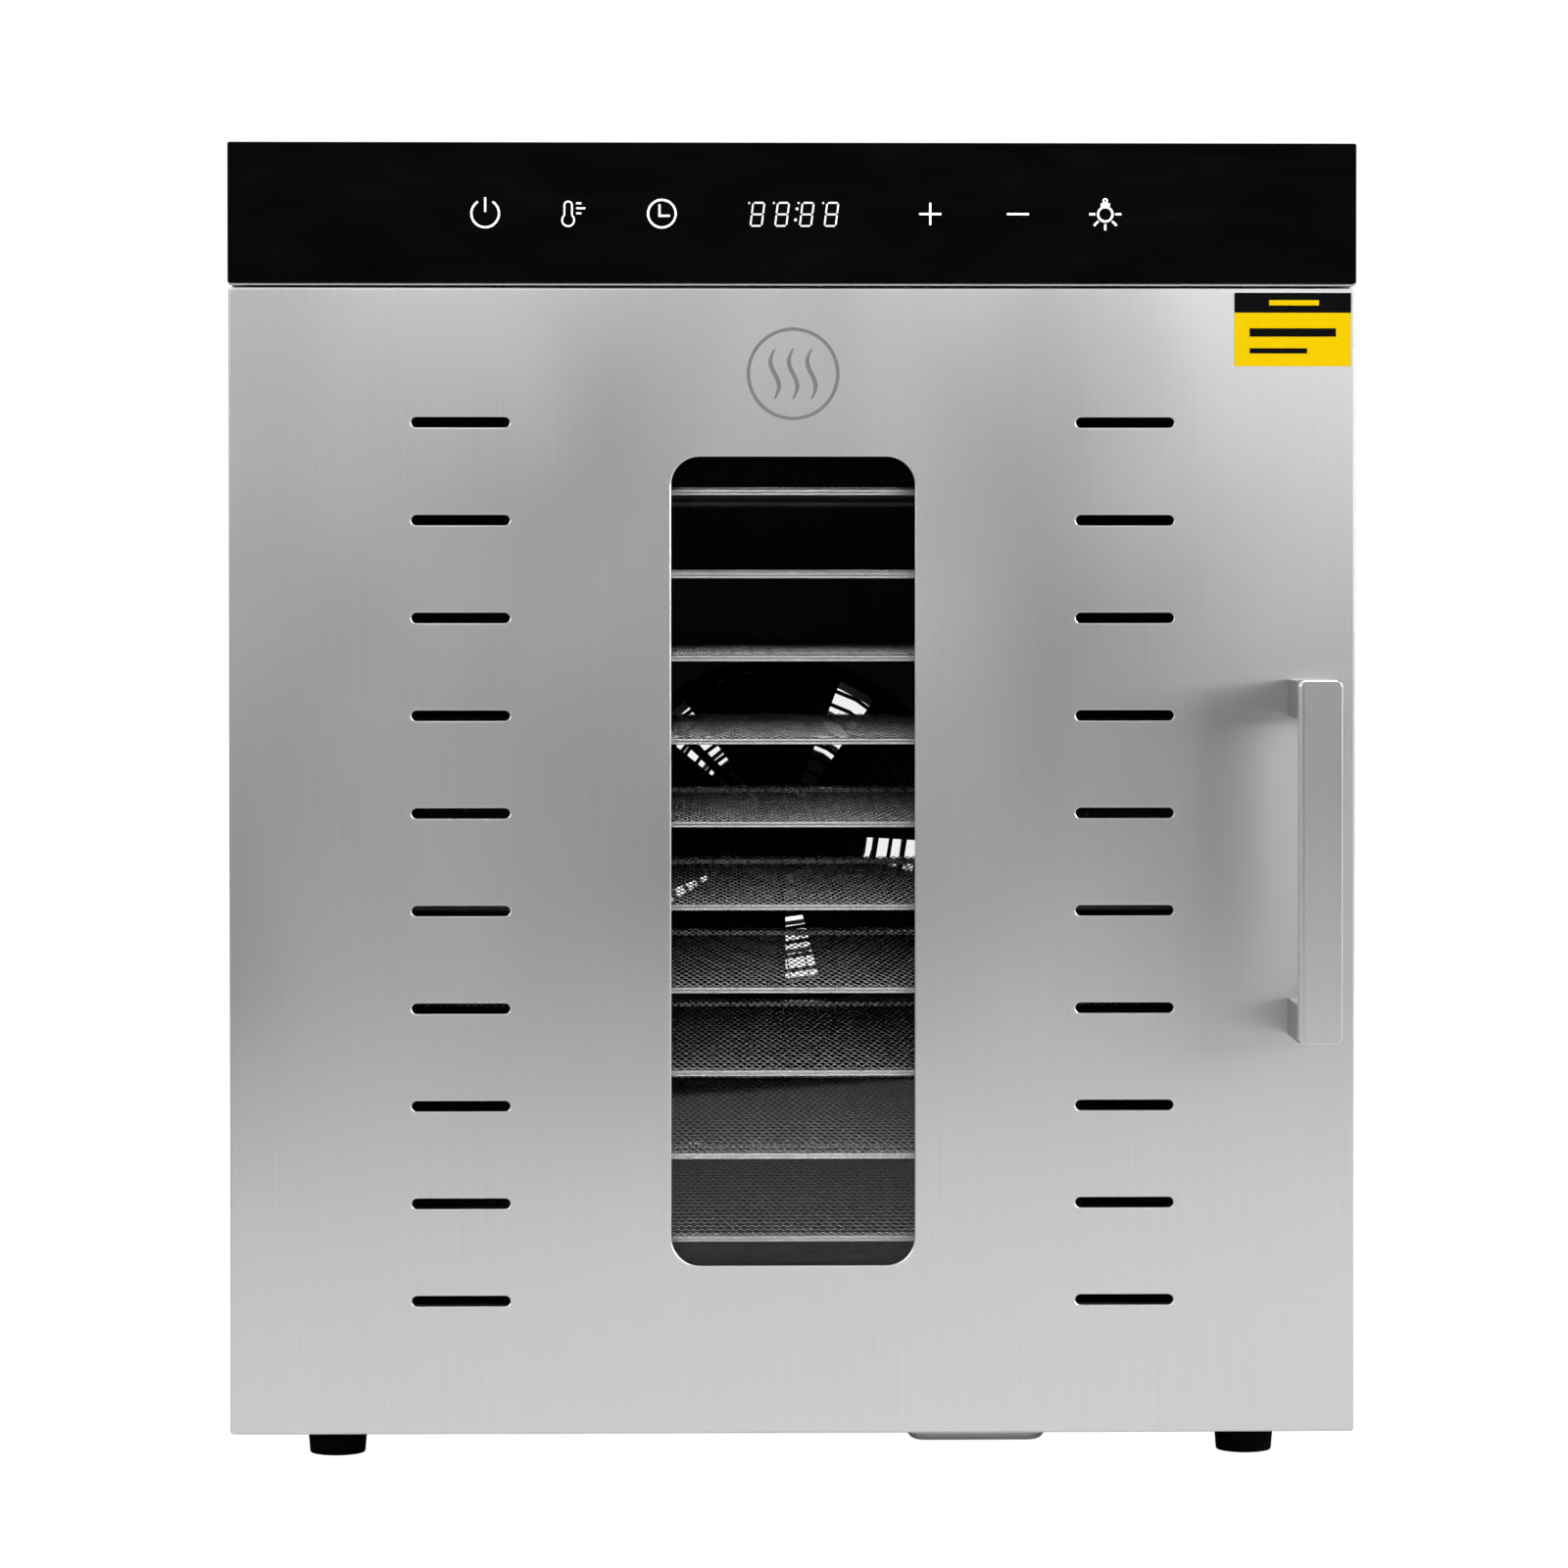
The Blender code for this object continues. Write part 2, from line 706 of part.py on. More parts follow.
def make_door_gasket(materials):
    outer, inner = DOOR_GASKET_HALF, DOOR_GASKET_HALF - DOOR_GASKET_WIDTH
    spread = outer - LINER_HALF
    low, high = LINER_BOTTOM - spread, LINER_TOP + spread
    loops = [
        rectangle(-outer, low, outer, high),
        rectangle(-inner, low + DOOR_GASKET_WIDTH, inner, high - DOOR_GASKET_WIDTH),
    ]
    near, far = depth(INNER_PANEL_BACK + GAP), depth(CABINET_FRONT - GAP)
    return plate("door_gasket", loops, near, far, "Y", materials["silicone"])


def make_catch_plate(materials):
    near, far = depth(INNER_PANEL_BACK + GAP), depth(CABINET_FRONT - 2 * GAP)
    outline = centred_rectangle(CATCH_WIDTH - 0.002, CATCH_HEIGHT, (CATCH_X + 0.001, CATCH_Z))
    return plate("catch_plate", [outline], near, far, "Y", materials["zinc_steel"])


def make_hinge_blocks(materials):
    left = -DOOR_HALF + DOOR_SHEET + GAP
    right = HINGE_X + HINGE_ARM_HALF + 0.002
    near, far = (depth(value) for value in HINGE_BLOCK_DEPTHS)
    outline = rectangle(left, near, right, far)
    bore = circle(HINGE_HOLE_RADIUS, (HINGE_X, depth(HINGE_DEPTH)), 16)
    low = BASE_Z + SHEET + GAP + HINGE_ARM_SHEET + 3 * GAP
    high = SHELF_Z - GAP - HINGE_ARM_SHEET - 4 * GAP
    spans = {
        "hinge_block_lower": (low, low + HINGE_BLOCK_HEIGHT),
        "hinge_block_upper": (high - HINGE_BLOCK_HEIGHT, high),
    }
    loops = [outline, bore]
    finish = materials["white_plastic"]
    return [plate(name, loops, *span, "Z", finish) for name, span in spans.items()]


def make_handle(materials):
    left, right = HANDLE_X - HANDLE_WIDTH / 2, HANDLE_X + HANDLE_WIDTH / 2
    outer, inner = depth(-HANDLE_REACH), depth(-HANDLE_REACH + HANDLE_BAR)
    bar_bm = bmesh.new()
    add_block(bar_bm, (left, outer, HANDLE_LOW), (right, inner, HANDLE_HIGH))
    bar = new_object("handle_bar", bar_bm, materials["brushed_steel"])
    bevel = bar.modifiers.new("rounded_edges", "BEVEL")
    bevel.width = 0.0006
    bevel.segments = 1
    pieces = [bar]
    feet = {
        "handle_post_upper": (HANDLE_HIGH - HANDLE_POST, HANDLE_HIGH),
        "handle_post_lower": (HANDLE_LOW, HANDLE_LOW + HANDLE_POST),
    }
    for name, (low, high) in feet.items():
        near, far = inner + GAP, depth(-GAP)
        pieces.append(block(name, (left, near, low), (right, far, high), materials["brushed_steel"]))
    return pieces


def make_door(materials):
    pieces = [make_door_skin(materials), make_door_inner_panel(materials)]
    pieces += make_window(materials)
    pieces += [make_door_gasket(materials), make_catch_plate(materials)]
    pieces += make_hinge_blocks(materials)
    pieces += make_handle(materials)
    hang_on(axis_empty("door_hinge", Vector((HINGE_X, depth(HINGE_DEPTH), 0.0))), pieces)


def make_hinges(materials):
    """Flat arms with round ends reach from the cabinet into the door; a pin stands in each."""
    eye = (HINGE_X, depth(HINGE_DEPTH))
    tail = depth(CABINET_FRONT + HINGE_ARM_TAIL)
    outline = [polar(eye, HINGE_ARM_HALF, math.pi * (1 + step / 10)) for step in range(11)]
    outline += [(HINGE_X + HINGE_ARM_HALF, tail), (HINGE_X - HINGE_ARM_HALF, tail)]
    hole = circle(HINGE_HOLE_RADIUS, eye, 16)
    low = BASE_Z + SHEET + GAP
    high = SHELF_Z - GAP - HINGE_ARM_SHEET
    pin_centre = (HINGE_X, depth(HINGE_DEPTH), 0.0)
    arms = {"lower": (low, low - GAP, low + 0.0090), "upper": (high, high - 0.0075, high + 0.0014)}
    for name, (arm_low, pin_low, pin_high) in arms.items():
        arm_high = arm_low + HINGE_ARM_SHEET
        steel = materials["zinc_steel"]
        plate(f"hinge_arm_{name}", [outline, hole], arm_low, arm_high, "Z", steel)
        profile = rod_profile(HINGE_PIN_RADIUS, pin_low, pin_high)
        turned(f"hinge_pin_{name}", profile, pin_centre, "Z", 16, materials["chrome"])


# Controls


def make_control_housing(materials):
    low = (-PANEL_HALF, depth(PANEL_GLASS + GAP), PANEL_BOTTOM)
    high = (PANEL_HALF, depth(CABINET_FRONT - GAP), HEIGHT)
    housing = block("control_housing", low, high, materials["brushed_steel"])
    hollow = bmesh.new()
    add_block(
        hollow,
        (low[0] + PANEL_WALL, low[1] + PANEL_WALL, low[2] + PANEL_WALL),
        (high[0] - PANEL_WALL, high[1] + CUTTER_MARGIN, high[2] - PANEL_WALL),
    )
    combine(housing, helper_shape("cut_housing_hollow", hollow), "DIFFERENCE")
    opening = bmesh.new()
    outline = centred_rectangle(*PANEL_OPENING, (0.0, DISPLAY_Z))
    near, far = low[1] - CUTTER_MARGIN, low[1] + PANEL_WALL + CUTTER_MARGIN
    add_prism(opening, [outline], near, far, "Y")
    combine(housing, helper_shape("cut_housing_opening", opening), "DIFFERENCE")


def make_controls(materials):
    outline = rectangle(-PANEL_HALF, PANEL_BOTTOM + PANEL_LIP, PANEL_HALF, HEIGHT)
    glass_far = depth(PANEL_GLASS)
    plate("fascia_glass", [outline], depth(0.0), glass_far, "Y", materials["black_glass"])
    display = centred_rectangle(*DISPLAY_SIZE, (DISPLAY_X, DISPLAY_Z))
    display_far = glass_far + DISPLAY_DEPTH
    plate("display_module", [display], glass_far + GAP, display_far, "Y", materials["black_plastic"])
    board_near = display_far + GAP
    board_far = board_near + BOARD_SHEET
    outline = centred_rectangle(*CONTROL_BOARD_SIZE, (0.0, DISPLAY_Z))
    finish = materials["circuit_board"]
    board = plate("control_board", [outline], board_near, board_far, "Y", finish)
    chips = bmesh.new()
    for x in CHIP_X:
        chip = centred_rectangle(CHIP_SIZE, CHIP_SIZE, (x, DISPLAY_Z))
        add_prism(chips, [chip], board_far - BOARD_SHEET / 4, board_far + CHIP_RISE, "Y")
    combine(board, helper_shape("join_board_chips", chips), "UNION")


def make_power_board(materials):
    """The supply board stands on four stand-offs over the shelf."""
    shelf_top = SHELF_Z + SHELF_SHEET + GAP
    board_low = shelf_top + STANDOFF_HEIGHT
    board_high = board_low + BOARD_SHEET
    left, right = POWER_BOARD_X
    near, far = (depth(value) for value in POWER_BOARD_DEPTHS)
    finish = materials["circuit_board"]
    board = block("power_board", (left, near, board_low), (right, far, board_high), finish)
    shapes = bmesh.new()
    for x in (left + STANDOFF_INSET, right - STANDOFF_INSET):
        for y in (near + STANDOFF_INSET, far - STANDOFF_INSET):
            foot = centred_rectangle(STANDOFF_WIDTH, STANDOFF_WIDTH, (x, y))
            add_prism(shapes, [foot], shelf_top, board_low + BOARD_SHEET / 2, "Z")
    for index, (size_x, size_y, size_z) in enumerate(COMPONENT_SIZES):
        x = left + COMPONENT_START[0] + index * COMPONENT_STEP[0]
        y = near + COMPONENT_START[1] + index * COMPONENT_STEP[1]
        low = (x, y, board_low + BOARD_SHEET / 2)
        add_block(shapes, low, (x + size_x, y + size_y, board_low + size_z))
    combine(board, helper_shape("join_board_parts", shapes), "UNION")


# Heating and air


def make_fan_guard(materials):
    centre = (0.0, FAN_Z)
    loops = [circle(GUARD_RADIUS, centre, 32)]
    loops += ring_slots(centre, GUARD_FIRST_SLOT, GUARD_PITCH, GUARD_SLOT, 9, 8, GUARD_SPOKE, 3)
    far = depth(LINER_BACK - LINER_SHEET - GAP)
    plate("fan_guard", loops, far - SHEET, far, "Y", materials["brushed_steel"])


def make_rear_guard(materials):
    centre = (0.0, FAN_Z)
    loops = [circle(REAR_GUARD_RADIUS, centre, 32)]
    loops += ring_slots(centre, REAR_FIRST_SLOT, REAR_PITCH, REAR_SLOT, 4, 4, GUARD_SPOKE, 8)
    near = depth(BODY_DEPTH + GAP)
    plate("rear_fan_guard", loops, near, near + SHEET, "Y", materials["zinc_steel"])


def blade_ring(angle, radius, half_rise):
    """A blade's section at one radius: it climbs from edge to edge and bulges a little."""
    middle = depth(FAN_FRONT + FAN_DEPTH / 2)
    shares = [-1 + step / 3 for step in range(7)]
    ring = []
    for face, order in ((-1, shares), (1, shares[::-1])):
        for share in order:
            x, z = polar((0.0, FAN_Z), radius, angle + share * BLADE_HALF_ANGLE)
            bulge = BLADE_CAMBER * (1 - share * share)
            ring.append((x, middle + share * half_rise - bulge + face * BLADE_SHEET / 2, z))
    return ring


def make_fan(materials):
    hub_low, hub_high = depth(FAN_FRONT), depth(FAN_FRONT + FAN_DEPTH)
    bore = SHAFT_RADIUS + GAP
    profile = [(bore, hub_low), (FAN_HUB_RADIUS, hub_low)]
    profile += [(FAN_HUB_RADIUS, hub_high), (bore, hub_high)]
    axis_point = (0.0, 0.0, FAN_Z)
    fan = turned("fan_blades", profile, axis_point, "Y", 20, materials["aluminium"])
    blades = bmesh.new()
    for index in range(BLADE_COUNT):
        angle = math.radians(BLADE_FIRST_DEGREES) + 2 * math.pi * index / BLADE_COUNT
        add_loft(blades, [blade_ring(angle, *station) for station in BLADE_STATIONS])
    combine(fan, helper_shape("join_fan_blades", blades), "UNION")
    shaft_low, shaft_high = depth(FAN_FRONT + 0.0005), depth(MOTOR_BACK - 0.0040)
    profile = rod_profile(SHAFT_RADIUS, shaft_low, shaft_high)
    shaft = turned("fan_shaft", profile, axis_point, "Y", 16, materials["chrome"])
    hang_on(axis_empty("fan_axis", Vector((0.0, hub_low, FAN_Z))), [fan, shaft])


def make_motor(materials):
    near, far = depth(MOTOR_FRONT), depth(MOTOR_BACK)
    bore, bore_end = SHAFT_RADIUS + GAP, depth(MOTOR_BACK - 0.0035)
    profile = [
        (0.0, bore_end),
        (bore, bore_end),
        (bore, near),
        (MOTOR_RADIUS, near),
        (MOTOR_RADIUS, far),
        (0.0, far),
    ]
    turned("fan_motor", profile, (0.0, 0.0, FAN_Z), "Y", 24, materials["motor_iron"])
    make_motor_bracket(far + GAP, materials["zinc_steel"])


def make_motor_bracket(near, finish):
    """Arms reach out from behind the motor, and a foot on each stands on the back panel."""
    centre = (0.0, FAN_Z)
    half_angle_hub = BRACKET_ARM_HALF / BRACKET_HUB
    half_angle_tip = BRACKET_ARM_HALF / BRACKET_REACH
    half_angle_heel = BRACKET_ARM_HALF / (BRACKET_REACH - BRACKET_FOOT)
    outline = []
    feet = bmesh.new()
    panel = depth(BODY_DEPTH - SHEET) - GAP
    for arm in range(BRACKET_ARMS):
        angle = math.radians(BRACKET_FIRST_DEGREES) + arm * 2 * math.pi / BRACKET_ARMS
        outline.append(polar(centre, BRACKET_HUB, angle - math.pi / BRACKET_ARMS))
        outline.append(polar(centre, BRACKET_HUB, angle - half_angle_hub))
        outline.append(polar(centre, BRACKET_REACH, angle - half_angle_tip))
        outline.append(polar(centre, BRACKET_REACH, angle + half_angle_tip))
        outline.append(polar(centre, BRACKET_HUB, angle + half_angle_hub))
        foot = [polar(centre, BRACKET_REACH - BRACKET_FOOT, angle - half_angle_heel)]
        foot.append(polar(centre, BRACKET_REACH, angle - half_angle_tip))
        foot.append(polar(centre, BRACKET_REACH, angle + half_angle_tip))
        foot.append(polar(centre, BRACKET_REACH - BRACKET_FOOT, angle + half_angle_heel))
        add_prism(feet, [foot], near + SHEET / 2, panel, "Y")
    bracket = plate("motor_bracket", [outline], near, near + SHEET, "Y", finish)
    combine(bracket, helper_shape("join_bracket_feet", feet), "UNION")


def make_heater(materials):
    """An open ring of tubular element round the fan, held by two clips."""
    steps = 30
    curve = bpy.data.curves.new("heater_element", "CURVE")
    curve.dimensions = "3D"
    curve.bevel_depth = HEATER_TUBE
    curve.bevel_resolution = 2
    curve.use_fill_caps = True
    spline = curve.splines.new("POLY")
    spline.points.add(steps)
    for index, point in enumerate(spline.points):
        angle = math.radians(HEATER_START_DEGREES + HEATER_SWEEP_DEGREES * index / steps)
        x, z = polar((0.0, FAN_Z), HEATER_RADIUS, angle)
        point.co = (x, depth(HEATER_DEPTH), z, 1.0)
    curve.materials.append(materials["zinc_steel"])
    heater = bpy.data.objects.new("heater_element", curve)
    bpy.context.collection.objects.link(heater)
    near, far = depth(LINER_BACK + GAP), depth(HEATER_DEPTH - HEATER_TUBE - GAP)
    for name, x in (("heater_clip_left", -HEATER_RADIUS), ("heater_clip_right", HEATER_RADIUS)):
        outline = centred_rectangle(*CLIP_SIZE, (x, FAN_Z))
        plate(name, [outline], near, far, "Y", materials["zinc_steel"])


def make_sensors(materials):
    profile = rod_profile(CUTOUT_RADIUS, depth(LINER_BACK + GAP), depth(CUTOUT_BACK))
    centre = (CUTOUT_CENTRE[0], 0.0, CUTOUT_CENTRE[1])
    turned("thermal_cutout", profile, centre, "Y", 16, materials["white_plastic"])
    far = depth(LINER_BACK - LINER_SHEET - GAP)
    near = far - PROBE_LENGTH
    tip = 0.7 * PROBE_RADIUS
    probe = [(0.0, near), (tip, near), (PROBE_RADIUS, near + PROBE_RADIUS - tip)]
    probe += [(PROBE_RADIUS, far), (0.0, far)]
    centre = (PROBE_X, 0.0, tray_top(2) + TRAY_PITCH / 2)
    turned("temperature_probe", probe, centre, "Y", 12, materials["chrome"])


def make_lamp(materials):
    ceiling = LINER_TOP - LINER_SHEET - GAP
    near, far = (depth(value) for value in LAMP_DEPTHS)
    base_low = ceiling - LAMP_BASE
    finish = materials["white_plastic"]
    block("lamp_base", (-LAMP_HALF, near, base_low), (LAMP_HALF, far, ceiling), finish)
    lens_high = base_low - GAP
    lens = rounded_rectangle(*LENS_SIZE, LENS_HEIGHT, (0.0, (near + far) / 2), 3)
    glass = materials["clear_glass"]
    plate("lamp_lens", [lens], lens_high - LENS_HEIGHT, lens_high, "Z", glass)


def make_power_inlet(materials):
    centre = (INLET_X, INLET_Z)
    inlet_bm = bmesh.new()
    body = centred_rectangle(INLET_WIDTH, INLET_HEIGHT, centre)
    flange = centred_rectangle(*INLET_FLANGE, centre)
    panel_far = depth(BODY_DEPTH)
    rings = []
    for outline, y in (
        (body, panel_far - INLET_LENGTH),
        (body, panel_far + GAP),
        (flange, panel_far + GAP),
        (flange, panel_far + REAR_STAND),
    ):
        rings.append([(u, y, v) for u, v in outline])
    add_loft(inlet_bm, rings)
    inlet = new_object("power_inlet", inlet_bm, materials["black_plastic"])
    socket = bmesh.new()
    mouth = rounded_rectangle(*SOCKET_SIZE, REAR_STAND, centre, 2)
    socket_end = panel_far - SOCKET_LENGTH
    add_prism(socket, [mouth], socket_end, panel_far + 2 * CUTTER_MARGIN, "Y")
    combine(inlet, helper_shape("cut_socket", socket), "DIFFERENCE")
    pins = bmesh.new()
    for u, v in PIN_OFFSETS:
        pin = centred_rectangle(0.002, 0.004, (INLET_X + u, INLET_Z + v))
        add_prism(pins, [pin], socket_end - 0.0010, panel_far - 0.0010, "Y")
    combine(inlet, helper_shape("join_socket_pins", pins), "UNION")


# Drip tray


def make_drip_tray(materials):
    middle = (DRIP_X, depth(DRIP_FRONT + DRIP_LENGTH / 2))

    def ring(offset, z):
        radius = 0.008 + offset
        width, length = 2 * (DRIP_HALF + offset), DRIP_LENGTH + 2 * offset
        outline = rounded_rectangle(width, length, radius, middle, 4)
        return [(u, v, z) for u, v in outline]

    tray_bm = bmesh.new()
    add_loft(
        tray_bm,
        [
            ring(-0.0050, DRIP_BOTTOM),
            ring(-0.0020, DRIP_BOTTOM + 0.0009),
            ring(0.0, DRIP_TOP - DRIP_RIM),
            ring(DRIP_FLANGE, DRIP_TOP - DRIP_RIM),
            ring(DRIP_FLANGE, DRIP_TOP),
            ring(-0.0007, DRIP_TOP),
            ring(-0.0027, DRIP_BOTTOM + 0.0016),
            ring(-0.0052, DRIP_BOTTOM + 0.0008),
        ],
    )
    tray = new_object("drip_tray", tray_bm, materials["chrome"], smooth=True)
    hang_on(axis_empty("drip_tray_slide", Vector((DRIP_X, depth(DRIP_FRONT), DRIP_TOP))), [tray])


def make_drip_runners(materials):
    top = BASE_Z - GAP
    near, far = depth(0.030), depth(DRIP_FRONT + DRIP_LENGTH)
    inner, outer = DRIP_HALF + 0.0008, DRIP_HALF + 0.0045
    web = DRIP_HALF + 0.0037
    channel = [
        (inner, top),
        (inner, top - 0.0006),
        (web, top - 0.0006),
        (web, DRIP_TOP - 0.0011),
        (inner, DRIP_TOP - 0.0011),
        (inner, DRIP_TOP - 0.0018),
        (outer, DRIP_TOP - 0.0018),
        (outer, top),
    ]
    for name, side in (("drip_runner_left", -1), ("drip_runner_right", 1)):
        outline = [(DRIP_X + side * u, v) for u, v in channel]
        plate(name, [outline], near, far, "Y", materials["zinc_steel"])


def main():
    clear_scene()
    materials = {name: make_material(name) for name in FINISHES}
    make_outer_wrap(materials)
    make_front_frame(materials)
    make_magnet_catch(materials)
    make_base_pan(materials)
    make_control_shelf(materials)
    make_back_panel(materials)
    make_inner_liner(materials)
    make_racks(materials)
    make_trays(materials)
    make_feet(materials)
    make_door(materials)
    make_hinges(materials)
    make_control_housing(materials)
    make_controls(materials)
    make_power_board(materials)
    make_fan_guard(materials)
    make_rear_guard(materials)
    make_fan(materials)
    make_motor(materials)
    make_heater(materials)
    make_sensors(materials)
    make_lamp(materials)
    make_power_inlet(materials)
    make_drip_tray(materials)
    make_drip_runners(materials)


main()
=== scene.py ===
"""Looks of the ten-tray cabinet dehydrator: refined sheet metal, woven trays, marks and light."""

import math

import bmesh
import bpy
import numpy as np
from mathutils import Matrix, Vector
from mathutils.geometry import tessellate_polygon


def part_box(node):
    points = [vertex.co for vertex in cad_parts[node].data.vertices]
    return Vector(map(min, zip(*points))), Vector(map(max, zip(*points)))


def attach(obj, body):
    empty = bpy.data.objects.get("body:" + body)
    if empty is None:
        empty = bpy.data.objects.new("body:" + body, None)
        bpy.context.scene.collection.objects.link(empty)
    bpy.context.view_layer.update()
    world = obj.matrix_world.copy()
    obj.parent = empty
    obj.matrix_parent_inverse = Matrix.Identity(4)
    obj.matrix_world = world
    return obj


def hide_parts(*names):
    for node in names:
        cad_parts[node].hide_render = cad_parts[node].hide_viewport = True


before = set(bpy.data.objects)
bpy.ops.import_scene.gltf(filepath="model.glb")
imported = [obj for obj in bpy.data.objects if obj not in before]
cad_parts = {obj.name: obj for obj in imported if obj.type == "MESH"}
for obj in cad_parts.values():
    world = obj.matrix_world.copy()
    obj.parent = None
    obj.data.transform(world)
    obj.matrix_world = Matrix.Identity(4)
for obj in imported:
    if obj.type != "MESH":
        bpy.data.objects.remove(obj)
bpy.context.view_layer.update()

MM = 0.001
CUT_SHARP = 20
DOOR_LOW, DOOR_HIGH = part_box("door_skin")
FRONT = DOOR_LOW.y
TRAY_NAMES = sorted(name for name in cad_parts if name.startswith("tray_"))

# Camera and studio, in metres and degrees, with the lens in millimetres
CAMERA_DISTANCE = 2.05
CAMERA_X = -0.0294
CAMERA_Z = 0.341
CAMERA_LENS = 123.6
CAMERA_PITCH_DOWN = 0.88
CAMERA_YAW_RIGHT = 1.2
CAMERA_SHIFT = (-0.0285, -0.0788)
BACKDROP_STRENGTH = 1.05
FLOOR_GLOW = 1.0
FLOOR_Z = -0.5 * MM
FLOOR_BACK = 4.0

# The room's light, which fades to dark between these Y parts of the direction
ROOM_STRENGTH = 0.29
ROOM_FADE = (-0.80, -1.0)

# The floor's front edge, as (x, distance before the door)
FLOOR_EDGE = ((-3.0, 0.40), (-1.2, 0.62), (2.6, 3.49), (4.0, 3.60))

# Each softbox: its name, place, target, size and power in watts
SOFTBOXES = (
    ("softbox_left", (-2.3, -2.0, 1.20), (0.0, 0.0, 0.6), (1.5, 1.4), 34.0),
    ("softbox_right", (2.2, -1.8, 1.15), (0.0, 0.0, 0.6), (1.6, 1.5), 84.0),
    ("softbox_top", (0.0, -1.0, 2.6), (0.0, -0.8, 0.0), (2.6, 2.0), 68.0),
    ("softbox_front", (0.0, -2.4, 1.15), (0.0, 0.0, 0.2), (0.8, 0.5), 11.0),
    ("softbox_back", (0.0, 2.6, 1.6), (0.0, 0.0, 0.25), (2.0, 1.6), 18.0),
)

# Door front
WINDOW_CENTRE = (0.0, 0.23285)
WINDOW_SIZE = (0.0929, 0.3085)
WINDOW_RADIUS = 0.0109
SLOT_X = 0.1265
SLOT_TOP_Z = 0.4001
SLOT_PITCH = 0.0372
SLOT_SIZE = (0.0375, 0.0040)
SLOT_COUNT = 10
SHEET = 1.0 * MM
WINDOW_LIP = 0.45 * MM
SLOT_LIP = 0.35 * MM

# Notches for the hinge arms: right edge, start behind the front, room below and above the arms
NOTCH_RIGHT = -0.2055
NOTCH_SETBACK = 1.5 * MM
NOTCH_ROOM_LOWER = 0.6 * MM
NOTCH_ROOM_UPPER = 0.9 * MM

# Heat label and its header, as (x, z), and the centre of the round mark
LABEL_LOW = (0.1682, 0.4216)
LABEL_HIGH = (0.2128, 0.4496)
HEADER_Z = 0.4420
EMBLEM_CENTRE = (0.0, 0.4186)

# Bars on the label: name, z, span in x, width and material
LABEL_BARS = (
    ("label_bar_top", 0.4458, (0.1815, 0.2005), 2.0 * MM, "label_yellow"),
    ("label_bar_middle", 0.4345, (0.1740, 0.2070), 3.2 * MM, "label_black"),
    ("label_bar_bottom", 0.4275, (0.1740, 0.1960), 2.0 * MM, "label_black"),
)

# The rubber of a foot bulges past its seat
FOOT_SPREAD = 0.9 * MM

# Screws: insets from the edges of the sheets, and heights of the lower pairs on the back
SCREW_RADIUS = 3.0 * MM
SCREW_RISE = 1.5 * MM
SIDE_SCREW_INSETS = {"bottom": 0.014, "top": 0.040, "front": 0.020, "rear": 0.014}
BACK_SCREW_HEIGHTS = (0.030, 0.135, 0.345, 0.450)
BACK_SCREW_INSETS = {"side": 0.009, "top": 0.010}
GUARD_SCREW_INSET = 3.6 * MM
FIRST_TWIST_DEGREES = 17
TWIST_STEP_DEGREES = 41

# Blank plate on the back, as (x, z)
PLATE_SIZE = (0.090, 0.050)
PLATE_CENTRE = (-0.110, 0.400)
PLATE_THICKNESS = 0.35 * MM

# Rim of a tray in section, as (inset, height) in millimetres from its outer upper edge
RIM_SECTION = (
    (7.0, 0.0), (0.45, 0.0), (0.12, -0.12), (0.0, -0.42), (0.12, -0.72), (0.75, -0.95),
    (0.75, -1.45), (0.12, -1.68), (0.0, -1.98), (0.12, -2.28), (0.45, -2.4), (7.0, -2.4),
    (7.6, -2.1), (7.6, -0.3),
)
RIM_SECTION_HEIGHT = 2.4
RIM_WIDTH = 8.0 * MM
RIM_RADIUS = 6.0 * MM

# Woven mesh of the trays
WIRE_RADIUS = 0.25 * MM
WIRE_SIDES = 4
WIRE_END_GAP = 3.0 * MM
DEPTH_WIRE_PITCH = 7.66 * MM
CROSS_WIRE_PITCH = 11.6 * MM
WAVES_PER_CELL = 2.5
POINTS_PER_WAVE = 4
WAVE_HEIGHT = 0.36 * MM
MESH_RISE = 0.5 * MM

# Fascia: the opening behind the panel, and the marks on it
DISPLAY_OPENING = (0.256, 0.030)
MARK_Z = 0.4794
MARK_STROKE = 0.72 * MM
MARK_THICKNESS = 0.12 * MM
RING_RADIUS = 5.25 * MM
SIGN_HALF = 4.2 * MM


# Materials: each has its own procedural grain, specks or wear


def new_material(name, colour, metallic, roughness):
    material = bpy.data.materials.new(name)
    material.use_nodes = True
    shader = material.node_tree.nodes["Principled BSDF"]
    shader.inputs["Base Color"].default_value = (*colour, 1.0)
    shader.inputs["Metallic"].default_value = metallic
    shader.inputs["Roughness"].default_value = roughness
    return material, shader


def noise_value(tree, stretch, detail=3.0, distortion=0.0):
    """Noise over the object's own space, stretched by its three scales (in 1/m)."""
    coordinates = tree.nodes.new("ShaderNodeTexCoord")
    mapping = tree.nodes.new("ShaderNodeMapping")
    mapping.inputs["Scale"].default_value = stretch
    noise = tree.nodes.new("ShaderNodeTexNoise")
    noise.inputs["Scale"].default_value = 1.0
    noise.inputs["Detail"].default_value = detail
    noise.inputs["Distortion"].default_value = distortion
    tree.links.new(coordinates.outputs["Object"], mapping.inputs["Vector"])
    tree.links.new(mapping.outputs["Vector"], noise.inputs["Vector"])
    return noise.outputs["Fac"]


